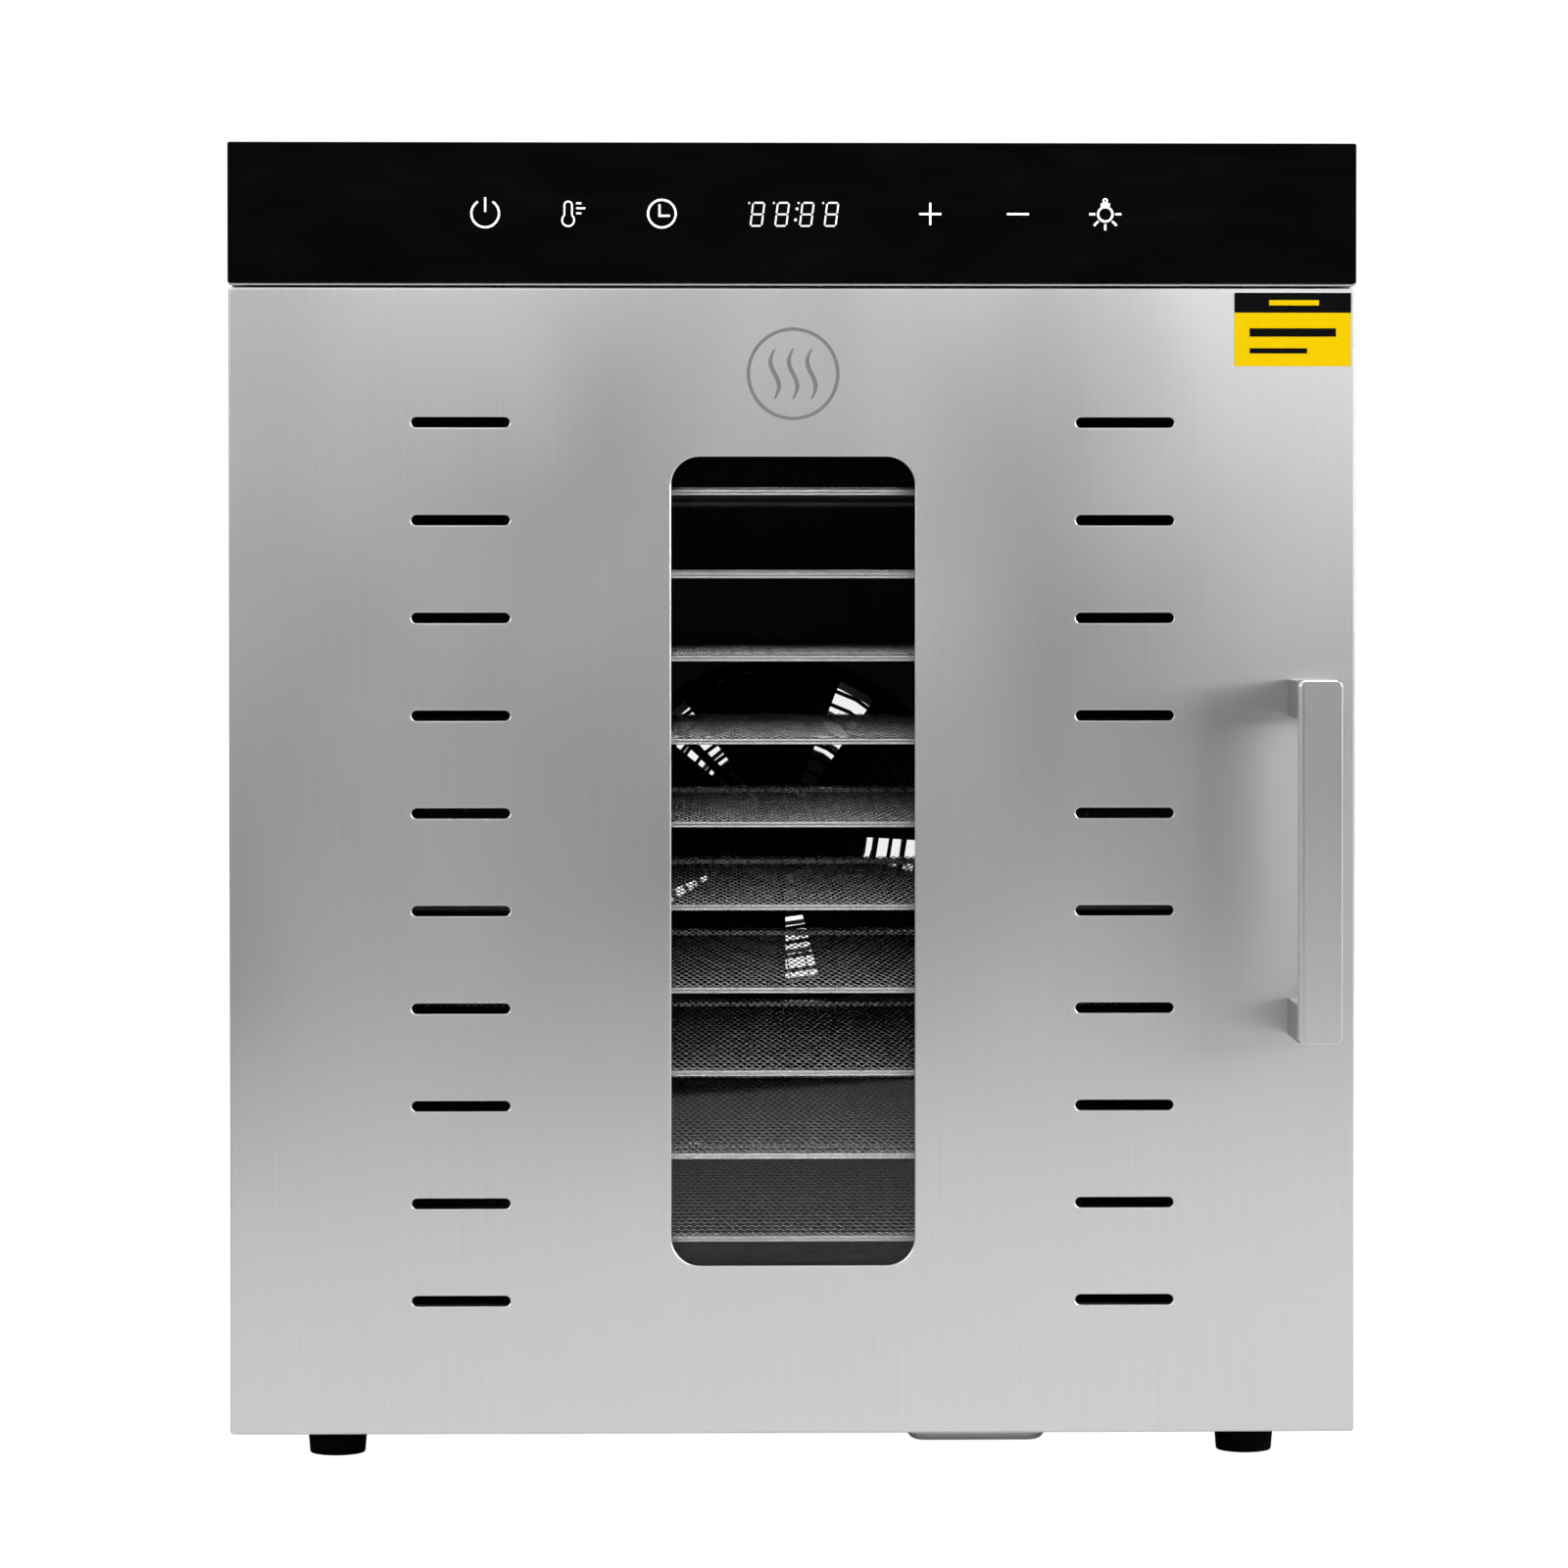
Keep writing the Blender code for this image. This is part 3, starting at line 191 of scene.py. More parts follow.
def ranged(tree, value, low, high, start=0.3, end=0.7):
    node = tree.nodes.new("ShaderNodeMapRange")
    node.inputs["From Min"].default_value = start
    node.inputs["From Max"].default_value = end
    node.inputs["To Min"].default_value = low
    node.inputs["To Max"].default_value = high
    tree.links.new(value, node.inputs["Value"])
    return node.outputs["Result"]


def tinted(tree, value, dark, light, start=0.3, end=0.7):
    ramp = tree.nodes.new("ShaderNodeValToRGB")
    ramp.color_ramp.elements[0].position = start
    ramp.color_ramp.elements[0].color = (*dark, 1.0)
    ramp.color_ramp.elements[1].position = end
    ramp.color_ramp.elements[1].color = (*light, 1.0)
    tree.links.new(value, ramp.inputs["Fac"])
    return ramp.outputs["Color"]


def add_bump(tree, shader, value, strength, distance):
    bump = tree.nodes.new("ShaderNodeBump")
    bump.inputs["Strength"].default_value = strength
    bump.inputs["Distance"].default_value = distance
    tree.links.new(value, bump.inputs["Height"])
    tree.links.new(bump.outputs["Normal"], shader.inputs["Normal"])


def shade(colour, factor):
    return tuple(min(1.0, channel * factor) for channel in colour)


def brushed(
    name, colour, roughness, grain_axis=2, anisotropic=0.75, contrast=0.025, tangents="UV_MAP"
):
    """Sheet with fine scratches along one axis and faint wide patches.

    tangents is UV_MAP for the grain map, or RADIAL for sheets that only show an upright face.
    """
    material, shader = new_material(name, colour, 1.0, roughness)
    shader.inputs["Anisotropic"].default_value = anisotropic
    tree = material.node_tree
    if anisotropic:
        tangent = tree.nodes.new("ShaderNodeTangent")
        tangent.direction_type = tangents
        tree.links.new(tangent.outputs["Tangent"], shader.inputs["Tangent"])
    across_grain, along_grain = 1400.0, 14.0
    stretch = [across_grain] * 3
    stretch[grain_axis] = along_grain
    scratches = noise_value(tree, stretch, 4.0)
    colour_out = tinted(tree, scratches, shade(colour, 1 - contrast), shade(colour, 1 + contrast))
    tree.links.new(colour_out, shader.inputs["Base Color"])
    patches = noise_value(tree, (9.0, 9.0, 5.0), 2.0)
    tree.links.new(
        ranged(tree, patches, roughness - 0.02, roughness + 0.025), shader.inputs["Roughness"]
    )
    add_bump(tree, shader, scratches, 0.05, 0.00005)
    return material


def speckled(name, colour, metallic, roughness, scale=900.0, contrast=0.15, bump=0.10):
    """A moulded, cast or plated surface with a fine even texture."""
    material, shader = new_material(name, colour, metallic, roughness)
    tree = material.node_tree
    grain = noise_value(tree, (scale, scale, scale), 4.0)
    colour_out = tinted(tree, grain, shade(colour, 1 - contrast), shade(colour, 1 + contrast))
    tree.links.new(colour_out, shader.inputs["Base Color"])
    smudges = noise_value(tree, (40.0, 40.0, 40.0), 2.0)
    tree.links.new(
        ranged(tree, smudges, roughness * 0.9, roughness * 1.15), shader.inputs["Roughness"]
    )
    add_bump(tree, shader, grain, bump, 0.0001)
    return material


def panel_material():
    """The back panel: plain sheet outside, with painted shade that makes it near black where it faces
    the inside.
    """
    material = brushed("panel_steel", (0.52, 0.52, 0.52), 0.36, 2, 0.0)
    tree = material.node_tree
    shader = tree.nodes["Principled BSDF"]
    plain = shader.inputs["Base Color"].links[0].from_socket
    coordinates = tree.nodes.new("ShaderNodeTexCoord")
    split = tree.nodes.new("ShaderNodeSeparateXYZ")
    tree.links.new(coordinates.outputs["Normal"], split.inputs["Vector"])
    # Painted shade: faces turned towards the inside take a near-black colour
    inside = ranged(tree, split.outputs["Y"], 1.0, 0.0, -0.6, -0.4)
    mix = tree.nodes.new("ShaderNodeMixRGB")
    mix.inputs["Color2"].default_value = (0.03, 0.03, 0.03, 1.0)
    tree.links.new(inside, mix.inputs["Fac"])
    tree.links.new(plain, mix.inputs["Color1"])
    tree.links.new(mix.outputs["Color"], shader.inputs["Base Color"])
    return material


def wire_material():
    """Drawn wire with fine specks, and painted shade that darkens it from the front of a tray towards
    its rear, where little light reaches.
    """
    material, shader = new_material("wire_steel", (0.85, 0.85, 0.85), 1.0, 0.20)
    tree = material.node_tree
    coordinates = tree.nodes.new("ShaderNodeTexCoord")
    split = tree.nodes.new("ShaderNodeSeparateXYZ")
    tree.links.new(coordinates.outputs["Object"], split.inputs["Vector"])
    # Painted shade: darker from the front of the tray to its rear, in place of light that does not
    # reach the rear
    painted_rear_shade = ranged(tree, split.outputs["Y"], 0.0, 0.8, 0.01, 0.26)
    specks = noise_value(tree, (1500.0, 1500.0, 1500.0), 2.0)
    specks_and_painted_shade = tree.nodes.new("ShaderNodeMath")
    specks_and_painted_shade.operation = "MULTIPLY_ADD"
    specks_and_painted_shade.inputs[1].default_value = 0.2
    tree.links.new(specks, specks_and_painted_shade.inputs[0])
    tree.links.new(painted_rear_shade, specks_and_painted_shade.inputs[2])
    colour = tinted(tree, specks_and_painted_shade.outputs["Value"], (0.90, 0.90, 0.90), (0.16, 0.16, 0.16), 0.0, 0.9)
    tree.links.new(colour, shader.inputs["Base Color"])
    return material


def matt(material):
    """The material with next to no sheen."""
    material.node_tree.nodes["Principled BSDF"].inputs["Specular IOR Level"].default_value = 0.02
    return material


def black_panel_material():
    """Back-printed black panel: deep gloss with a trace of smears."""
    material, shader = new_material("fascia_black", (0.0015, 0.0015, 0.0016), 0.0, 0.05)
    tree = material.node_tree
    shader.inputs["Specular IOR Level"].default_value = 0.05
    smears = noise_value(tree, (22.0, 22.0, 60.0), 3.0, 0.6)
    tree.links.new(ranged(tree, smears, 0.03, 0.10), shader.inputs["Roughness"])
    colour = tinted(tree, smears, (0.0012, 0.0012, 0.0013), (0.0022, 0.0022, 0.0024))
    tree.links.new(colour, shader.inputs["Base Color"])
    return material


def clear_glass_material(name, tint, index):
    """Clear sheet: light goes straight through it and its face mirrors by angle."""
    material = bpy.data.materials.new(name)
    material.use_nodes = True
    tree = material.node_tree
    tree.nodes.remove(tree.nodes["Principled BSDF"])
    through = tree.nodes.new("ShaderNodeBsdfTransparent")
    mirror = tree.nodes.new("ShaderNodeBsdfGlossy")
    mirror.inputs["Roughness"].default_value = 0.02
    fresnel = tree.nodes.new("ShaderNodeFresnel")
    fresnel.inputs["IOR"].default_value = index
    mix = tree.nodes.new("ShaderNodeMixShader")
    haze = noise_value(tree, (30.0, 30.0, 12.0), 3.0)
    tint_out = tinted(tree, haze, shade(tint, 0.97), tint)
    tree.links.new(tint_out, through.inputs["Color"])
    tree.links.new(fresnel.outputs["Fac"], mix.inputs["Fac"])
    tree.links.new(through.outputs["BSDF"], mix.inputs[1])
    tree.links.new(mirror.outputs["BSDF"], mix.inputs[2])
    output = tree.nodes["Material Output"]
    tree.links.new(mix.outputs["Shader"], output.inputs["Surface"])
    return material


def lit_print_material(name, colour, strength):
    """White print on the fascia, lit evenly from behind through a fine mask."""
    material, shader = new_material(name, colour, 0.0, 0.5)
    tree = material.node_tree
    mask = noise_value(tree, (2500.0, 2500.0, 2500.0), 2.0)
    tree.links.new(tinted(tree, mask, shade(colour, 0.94), colour), shader.inputs["Emission Color"])
    shader.inputs["Emission Strength"].default_value = strength
    return material


def make_materials():
    steel = (0.62, 0.62, 0.615)
    return {
        "door_steel": brushed("door_steel", (0.67, 0.67, 0.665), 0.33, tangents="RADIAL"),
        "body_steel": brushed("body_steel", steel, 0.33),
        "handle_steel": brushed("handle_steel", (0.70, 0.70, 0.70), 0.30, 2, 0.6),
        # Painted shade: the posts take a darker copy of the handle's steel, for the shade beside the
        # bar
        "shaded_post_steel": brushed("shaded_post_steel", (0.30, 0.30, 0.30), 0.30, 2, 0.6),
        "pan_steel": brushed("pan_steel", (0.42, 0.42, 0.42), 0.22, 0, 0.0),
        "panel_steel": panel_material(),
        "frame_steel": brushed("frame_steel", (0.52, 0.52, 0.52), 0.36, 2, 0.0),
        # Painted shade: the stainless liner and racks are near black for the unlit inside of the
        # cabinet
        "shaded_inner_steel": brushed("shaded_inner_steel", (0.05, 0.05, 0.05), 0.38, 2, 0.0, 0.12),
        "zinc_steel": speckled("zinc_steel", (0.46, 0.47, 0.48), 1.0, 0.42, 260.0, 0.10, 0.06),
        "wire_steel": wire_material(),
        # Painted shade: the fan guard and motor bracket are near black for the unlit fan space
        "shaded_guard_black": matt(speckled("shaded_guard_black", (0.004, 0.004, 0.004), 0.0, 0.60)),
        "rim_steel": speckled("rim_steel", (0.95, 0.95, 0.95), 0.90, 0.24, 700.0, 0.02, 0.02),
        "chrome": speckled("chrome", (0.80, 0.80, 0.80), 1.0, 0.10, 300.0, 0.03, 0.03),
        "fascia": black_panel_material(),
        "window": clear_glass_material("window_clear", (0.94, 0.945, 0.94), 1.33),
        "lamp_clear": clear_glass_material("lamp_clear", (0.80, 0.82, 0.80), 1.30),
        "black_plastic": speckled("black_plastic", (0.018, 0.018, 0.018), 0.0, 0.45, 1200.0),
        "white_plastic": speckled("white_plastic", (0.78, 0.78, 0.76), 0.0, 0.42, 1200.0, 0.03),
        "rubber": matt(speckled("rubber", (0.004, 0.004, 0.004), 0.0, 0.80, 1600.0, 0.25, 0.20)),
        "silicone": speckled("silicone", (0.020, 0.020, 0.020), 0.0, 0.60, 900.0, 0.15, 0.10),
        "circuit_board": speckled("circuit_board", (0.02, 0.15, 0.06), 0.0, 0.45, 500.0, 0.2, 0.1),
        # Painted shade: the aluminium fan blades are near black for the unlit fan space
        "aluminium": brushed("shaded_fan_aluminium", (0.03, 0.03, 0.03), 0.50, 0, 0.0),
        "ferrite": speckled("ferrite", (0.05, 0.05, 0.05), 0.2, 0.55, 1500.0),
        # Dark iron, made darker still as painted shade for the unlit fan space
        "motor_iron": speckled("motor_iron", (0.09, 0.09, 0.10), 0.6, 0.50, 700.0),
        "print_white": lit_print_material("print_white", (1.0, 1.0, 1.0), 0.75),
        "print_grey": lit_print_material("print_grey", (0.72, 0.72, 0.72), 0.30),
        "etched": speckled("etched", (0.14, 0.14, 0.14), 0.50, 0.60, 2200.0, 0.12, 0.10),
        "label_yellow": matt(speckled("label_yellow", (0.52, 0.35, 0.0), 0.0, 0.55, 700.0, 0.03)),
        "label_black": matt(speckled("label_black", (0.002, 0.002, 0.002), 0.0, 0.60, 700.0)),
        "label_silver": speckled("label_silver", (0.62, 0.62, 0.63), 0.5, 0.40, 700.0, 0.05, 0.03),
    }


# Outlines in the plane of the front, as (x, z) points


def rounded_rectangle(width, height, radius, centre, steps):
    points = []
    for corner, (side_u, side_v) in enumerate(((1, 1), (-1, 1), (-1, -1), (1, -1))):
        middle_u = centre[0] + side_u * (width / 2 - radius)
        middle_v = centre[1] + side_v * (height / 2 - radius)
        for step in range(steps + 1):
            angle = (corner + step / steps) * math.pi / 2
            points.append((middle_u + radius * math.cos(angle), middle_v + radius * math.sin(angle)))
    return points


def inset_rectangle(low, high, inset, radius, steps):
    """A rounded rectangle inside the (x, z) corners low and high."""
    width, height = high[0] - low[0] - 2 * inset, high[1] - low[1] - 2 * inset
    centre = ((low[0] + high[0]) / 2, (low[1] + high[1]) / 2)
    least = 0.05 * MM
    return rounded_rectangle(width, height, max(radius - inset, least), centre, steps)


def turned_point(centre, radius, degrees):
    angle = math.radians(degrees)
    return (centre[0] + radius * math.cos(angle), centre[1] + radius * math.sin(angle))


def at_depth(outline, y):
    return [(u, y, v) for u, v in outline]


def at_height(outline, z):
    return [(u, v, z) for u, v in outline]


# Meshes


def join_rings(bm, rings, closed=False):
    """Walls between rings of equally many points; returns the rows of vertices."""
    rows = [[bm.verts.new(point) for point in ring] for ring in rings]
    pairs = list(zip(rows, rows[1:]))
    if closed:
        pairs.append((rows[-1], rows[0]))
    for lower, upper in pairs:
        for index in range(len(lower)):
            after = (index + 1) % len(lower)
            bm.faces.new((lower[index], lower[after], upper[after], upper[index]))
    return rows


def add_sheet(bm, chains, drop=1):
    """A sheet from front to back. Each chain of rings is one edge: the outline, then the holes.

    drop is the coordinate left out when a face is filled: 1 for a face towards Y, 2 for Z.
    """
    keep = [axis for axis in range(3) if axis != drop]
    walls = [join_rings(bm, chain) for chain in chains]
    for end in (0, -1):
        loops = [wall[end] for wall in walls]
        if len(loops) == 1:
            bm.faces.new(loops[0])
            continue
        flat = [[Vector((vert.co[keep[0]], vert.co[keep[1]], 0)) for vert in loop] for loop in loops]
        verts = [vert for loop in loops for vert in loop]
        for corners in tessellate_polygon(flat):
            bm.faces.new([verts[corner] for corner in corners])


def add_plate(bm, outline, near, far):
    """A flat plate between two depths, with (x, z) points for its outline."""
    add_sheet(bm, [[at_depth(outline, near), at_depth(outline, far)]])


def add_lathe(bm, profile, centre, steps):
    """Turns (radius, height) points about an upright axis through centre, from pole to pole."""
    rows = []
    for radius, height in profile:
        count = steps if radius > 0 else 1
        row = []
        for step in range(count):
            angle = 2 * math.pi * step / steps
            offset = (radius * math.cos(angle), radius * math.sin(angle), height)
            row.append(bm.verts.new(Vector(centre) + Vector(offset)))
        rows.append(row)
    for lower, upper in zip(rows, rows[1:]):
        for index in range(steps):
            after = (index + 1) % steps
            ring = [lower[index % len(lower)], lower[after % len(lower)]]
            ring += [upper[after % len(upper)], upper[index % len(upper)]]
            bm.faces.new(list(dict.fromkeys(ring)))


def finish_mesh(name, bm, angle=40):
    bmesh.ops.recalc_face_normals(bm, faces=bm.faces)
    mesh = bpy.data.meshes.new(name)
    add_grain_map(bm)
    bm.to_mesh(mesh)
    bm.free()
    mesh.shade_smooth()
    mesh.set_sharp_from_angle(angle=math.radians(angle))
    return mesh


def add_grain_map(bm):
    """A UV map in metres whose U runs across the grain: along X, or along Y on the sides."""
    layer = bm.loops.layers.uv.new("grain")
    for face in bm.faces:
        normal = face.normal
        sideways = abs(normal.x) > max(abs(normal.y), abs(normal.z))
        level = abs(normal.z) > max(abs(normal.x), abs(normal.y))
        for loop in face.loops:
            x, y, z = loop.vert.co
            loop[layer].uv = (y, z) if sideways else (x, y if level else z)


def cut_mesh(mesh, cutter_mesh, name):
    """The mesh with the cutter's volume taken out of it; edges over CUT_SHARP degrees stay sharp."""
    helpers = []
    for part in (mesh, cutter_mesh):
        helpers.append(bpy.data.objects.new("helper_" + part.name, part))
        bpy.context.collection.objects.link(helpers[-1])
    cut = helpers[0].modifiers.new("cut", "BOOLEAN")
    cut.object = helpers[1]
    cut.operation = "DIFFERENCE"
    graph = bpy.context.evaluated_depsgraph_get()
    result = bpy.data.meshes.new_from_object(helpers[0].evaluated_get(graph))
    result.name = name
    result.set_sharp_from_angle(angle=math.radians(CUT_SHARP))
    for helper in helpers:
        bpy.data.objects.remove(helper, do_unlink=True)
    return result


def add_piece(name, mesh, material, body, replaces=(), location=None, bevel=0.0):
    """Puts a finished piece in the scene, riding on a body."""
    if material and not mesh.materials:
        mesh.materials.append(material)
    piece = bpy.data.objects.new(name, mesh)
    bpy.context.collection.objects.link(piece)
    if location is not None:
        piece.location = location
    if bevel:
        rounding = piece.modifiers.new("rounded_edges", "BEVEL")
        rounding.width = bevel
        rounding.segments = 2
        rounding.limit_method = "ANGLE"
        rounding.harden_normals = True
    weighted = piece.modifiers.new("flat_faces", "WEIGHTED_NORMAL")
    weighted.keep_sharp = True
    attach(piece, body)
    if replaces:
        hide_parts(*replaces)
    return piece


def rounded_edge(outline_at, front, back, radius, steps=3):
    """Rings of an edge that is rounded towards the front; outline_at(inset) gives the outline."""
    rings = []
    for step in range(steps + 1):
        angle = math.pi / 2 * step / steps
        inset = radius * (1 - math.sin(angle))
        rings.append(at_depth(outline_at(inset), front + radius * (1 - math.cos(angle))))
    rings.append(at_depth(outline_at(0.0), back))
    return rings


# Strokes: flat marks a little proud of the front


def add_ribbon(bm, inner, outer, y, closed=False):
    """A flat band between two rows of (x, z) points."""
    back = y + MARK_THICKNESS
    rings = []
    for (u0, v0), (u1, v1) in zip(inner, outer):
        rings.append([(u0, y, v0), (u1, y, v1), (u1, back, v1), (u0, back, v0)])
    rows = join_rings(bm, rings, closed)
    if not closed:
        bm.faces.new(rows[0])
        bm.faces.new(rows[-1])


def add_ring_stroke(bm, centre, radius, width, start, end, y, steps=36):
    closed = abs(end - start - 2 * math.pi) < 1e-6
    count = steps if closed else steps + 1
    inner, outer = [], []
    for step in range(count):
        angle = start + (end - start) * step / steps
        for row, reach in ((inner, radius - width / 2), (outer, radius + width / 2)):
            row.append((centre[0] + reach * math.cos(angle), centre[1] + reach * math.sin(angle)))
    add_ribbon(bm, inner, outer, y, closed)


def add_line_stroke(bm, start, end, width, y):
    along = Vector((end[0] - start[0], end[1] - start[1])).normalized()
    across = Vector((-along.y, along.x)) * width / 2
    inner = [(point[0] - across.x, point[1] - across.y) for point in (start, end)]
    outer = [(point[0] + across.x, point[1] + across.y) for point in (start, end)]
    add_ribbon(bm, inner, outer, y)


def add_wave_stroke(bm, centre, length, swing, width, y, steps=24):
    """One upright wave that thins out towards both ends."""
    inner, outer = [], []
    for step in range(steps + 1):
        share = step / steps
        z = centre[1] - length / 2 + length * share
        x = centre[0] + swing * math.sin(2 * math.pi * share)
        half = width / 2 * math.sin(math.pi * (0.12 + 0.76 * share))
        inner.append((x - half, z))
        outer.append((x + half, z))
    add_ribbon(bm, inner, outer, y)


def add_disc(bm, centre, radius, y, steps):
    outline = [turned_point(centre, radius, 360 * step / steps) for step in range(steps)]
    add_plate(bm, outline, y, y + MARK_THICKNESS)


# Door


def slot_centres():
    for side in (-1, 1):
        for row in range(SLOT_COUNT):
            yield side * SLOT_X, SLOT_TOP_Z - row * SLOT_PITCH


def hole_chain(size, radius, centre, lip, steps):
    """Edge rings of a hole through the front sheet, with a lip rounded over at the front."""

    def outline(spread):
        return rounded_rectangle(
            size[0] + 2 * spread, size[1] + 2 * spread, radius + spread, centre, steps
        )

    rings = [at_depth(outline(lip), FRONT), at_depth(outline(lip * 0.3), FRONT + lip * 0.3)]
    rings += [at_depth(outline(0.0), FRONT + lip), at_depth(outline(0.0), FRONT + SHEET)]
    return rings


def hinge_notches():
    """Blocks that clear the door's folds round the two hinge arms."""
    bm = bmesh.new()
    arm_low, arm_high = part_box("hinge_arm_lower")[1].z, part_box("hinge_arm_upper")[0].z
    margin = 2 * MM
    lower = (DOOR_LOW.z - margin, arm_low + NOTCH_ROOM_LOWER)
    upper = (arm_high - NOTCH_ROOM_UPPER, DOOR_HIGH.z + margin)
    left, near, far = DOOR_LOW.x - margin, FRONT + NOTCH_SETBACK, DOOR_HIGH.y + 5 * MM
    for bottom, top in (lower, upper):
        ring = [(left, bottom), (NOTCH_RIGHT, bottom), (NOTCH_RIGHT, top), (left, top)]
        add_plate(bm, ring, near, far)
    return finish_mesh("hinge_notches", bm)


def make_door_front(materials):
    """The folded front sheet: rounded folds, a window and vent slots with softened edges."""
    low, high = (DOOR_LOW.x, DOOR_LOW.z), (DOOR_HIGH.x, DOOR_HIGH.z)
    corner, fold = 1.1 * MM, 0.9 * MM

    def outline_at(inset):
        return inset_rectangle(low, high, inset, corner, 3)

    outer = rounded_edge(outline_at, FRONT, DOOR_HIGH.y, fold)
    outer.append(at_depth(outline_at(SHEET), DOOR_HIGH.y))
    outer.append(at_depth(outline_at(SHEET), FRONT + SHEET))
    chains = [outer]
    chains.append(hole_chain(WINDOW_SIZE, WINDOW_RADIUS, WINDOW_CENTRE, WINDOW_LIP, 10))
    slot_radius = SLOT_SIZE[1] / 2 - 0.02 * MM
    for centre in slot_centres():
        chains.append(hole_chain(SLOT_SIZE, slot_radius, centre, SLOT_LIP, 5))
    bm = bmesh.new()
    add_sheet(bm, chains)
    mesh = cut_mesh(finish_mesh("door_sheet", bm), hinge_notches(), "door_front")
    steel = materials["door_steel"]
    add_piece("door_front", mesh, steel, "door", ("door_skin",))


def make_handle_grip(materials):
    """The flat bar: a slightly raised pad with a lower border round it."""
    low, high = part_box("handle_bar")
    corners = ((low.x, low.z), (high.x, high.z))
    radius, step = 2.6 * MM, 0.35 * MM

    def ring(inset, y):
        return at_depth(inset_rectangle(*corners, inset, radius, 8), y)

    rings = [
        ring(1.75 * MM, low.y),
        ring(1.95 * MM, low.y + step),
        ring(1.55 * MM, low.y + step),
        ring(0.35 * MM, low.y + step),
        ring(0.1 * MM, low.y + step + 0.15 * MM),
        ring(0.0, low.y + step + 0.4 * MM),
        ring(0.0, high.y - 0.5 * MM),
        ring(0.15 * MM, high.y - 0.15 * MM),
        ring(0.5 * MM, high.y),
    ]
    bm = bmesh.new()
    add_sheet(bm, [rings])
    steel = materials["handle_steel"]
    mesh = finish_mesh("handle_grip", bm, 30)
    add_piece("handle_grip", mesh, steel, "door", ("handle_bar",))


def make_handle_posts(materials):
    for node in ("handle_post_upper", "handle_post_lower"):
        low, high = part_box(node)
        bm = bmesh.new()
        outline = inset_rectangle((low.x, low.z), (high.x, high.z), 0.0, 0.6 * MM, 4)
        add_plate(bm, outline, low.y, high.y)
        mesh = finish_mesh(node + "_bar", bm)
        add_piece(node + "_bar", mesh, materials["shaded_post_steel"], "door", (node,))


def make_label(materials):
    """A blank two-tone heat label."""
    proud = FRONT - 0.10 * MM
    for name, low, high, material in (
        ("label_field", LABEL_LOW, (LABEL_HIGH[0], HEADER_Z), materials["label_yellow"]),
        ("label_header", (LABEL_LOW[0], HEADER_Z), LABEL_HIGH, materials["label_black"]),
    ):
        bm = bmesh.new()
        outline = inset_rectangle(low, high, 0.0, 0.4 * MM, 3)
        add_plate(bm, outline, proud, FRONT - 0.01 * MM)
        add_piece(name, finish_mesh(name, bm), material, "door")


def make_label_bars(materials):
    """Plain bars in place of a label's print: they say nothing."""
    y = FRONT - 0.16 * MM
    for name, z, span, width, finish in LABEL_BARS:
        bm = bmesh.new()
        add_line_stroke(bm, (span[0], z), (span[1], z), width, y)
        add_piece(name, finish_mesh(name, bm), materials[finish], "door")


def make_emblem(materials):
    """A generic etched mark of rising air: a ring round three waves."""
    x, z = EMBLEM_CENTRE
    y = FRONT - 0.03 * MM
    spacing, length, swing, width = 7.0 * MM, 19.0 * MM, 1.6 * MM, 1.9 * MM
    bm = bmesh.new()
    add_ring_stroke(bm, EMBLEM_CENTRE, 17.0 * MM, 1.3 * MM, 0.0, 2 * math.pi, y, 64)
    for offset in (-spacing, 0.0, spacing):
        add_wave_stroke(bm, (x + offset, z), length, swing, width, y)
    mesh = finish_mesh("etched_mark", bm)
    add_piece("etched_mark", mesh, materials["etched"], "door")


# Control fascia


def make_fascia_panel(materials):
    low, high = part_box("fascia_glass")
    bm = bmesh.new()

    def outline_at(inset):
        return inset_rectangle((low.x, low.z), (high.x, high.z), inset, 0.8 * MM, 4)

    add_sheet(bm, [rounded_edge(outline_at, low.y, high.y, 0.35 * MM)])
    mesh = finish_mesh("fascia_panel", bm)
    add_piece("fascia_panel", mesh, materials["fascia"], "cabinet", ("fascia_glass",))


def make_fascia_housing(materials):
    """The steel tray behind the panel, open where the display sits."""
    low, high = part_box("control_housing")
    bm = bmesh.new()
    wall, corner = 1.5 * MM, 1.2 * MM

    def edge(inset):
        return inset_rectangle((low.x, low.z), (high.x, high.z), inset, corner, 4)

    outer = []
    for inset, y in (
        (0.5 * MM, low.y),
        (0.12 * MM, low.y + 0.12 * MM),
        (0.0, low.y + 0.5 * MM),
        (0.0, high.y),
        (wall, high.y),
        (wall, low.y + wall),
    ):
        outer.append(at_depth(edge(inset), y))
    display_low, display_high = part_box("display_module")
    centre = ((low.x + high.x) / 2, (display_low.z + display_high.z) / 2)
    opening = rounded_rectangle(*DISPLAY_OPENING, 1.0 * MM, centre, 4)
    hole = [at_depth(opening, y) for y in (low.y, low.y + 0.1 * MM, low.y + 0.2 * MM, low.y + wall)]
    add_sheet(bm, [outer, hole])
    mesh = finish_mesh("fascia_housing", bm)
    steel = materials["body_steel"]
    add_piece("fascia_housing", mesh, steel, "cabinet", ("control_housing",))


def icon(name, draw, material):
    bm = bmesh.new()
    draw(bm, FRONT - MARK_THICKNESS)
    add_piece(name, finish_mesh(name, bm), material, "cabinet")


def draw_power(bm, y):
    x, gap = -0.1170, math.radians(32)
    start, end = math.pi / 2 + gap, 5 * math.pi / 2 - gap
    add_ring_stroke(bm, (x, MARK_Z), RING_RADIUS, MARK_STROKE, start, end, y)
    add_line_stroke(bm, (x, MARK_Z + 0.6 * MM), (x, MARK_Z + 6.1 * MM), MARK_STROKE, y)


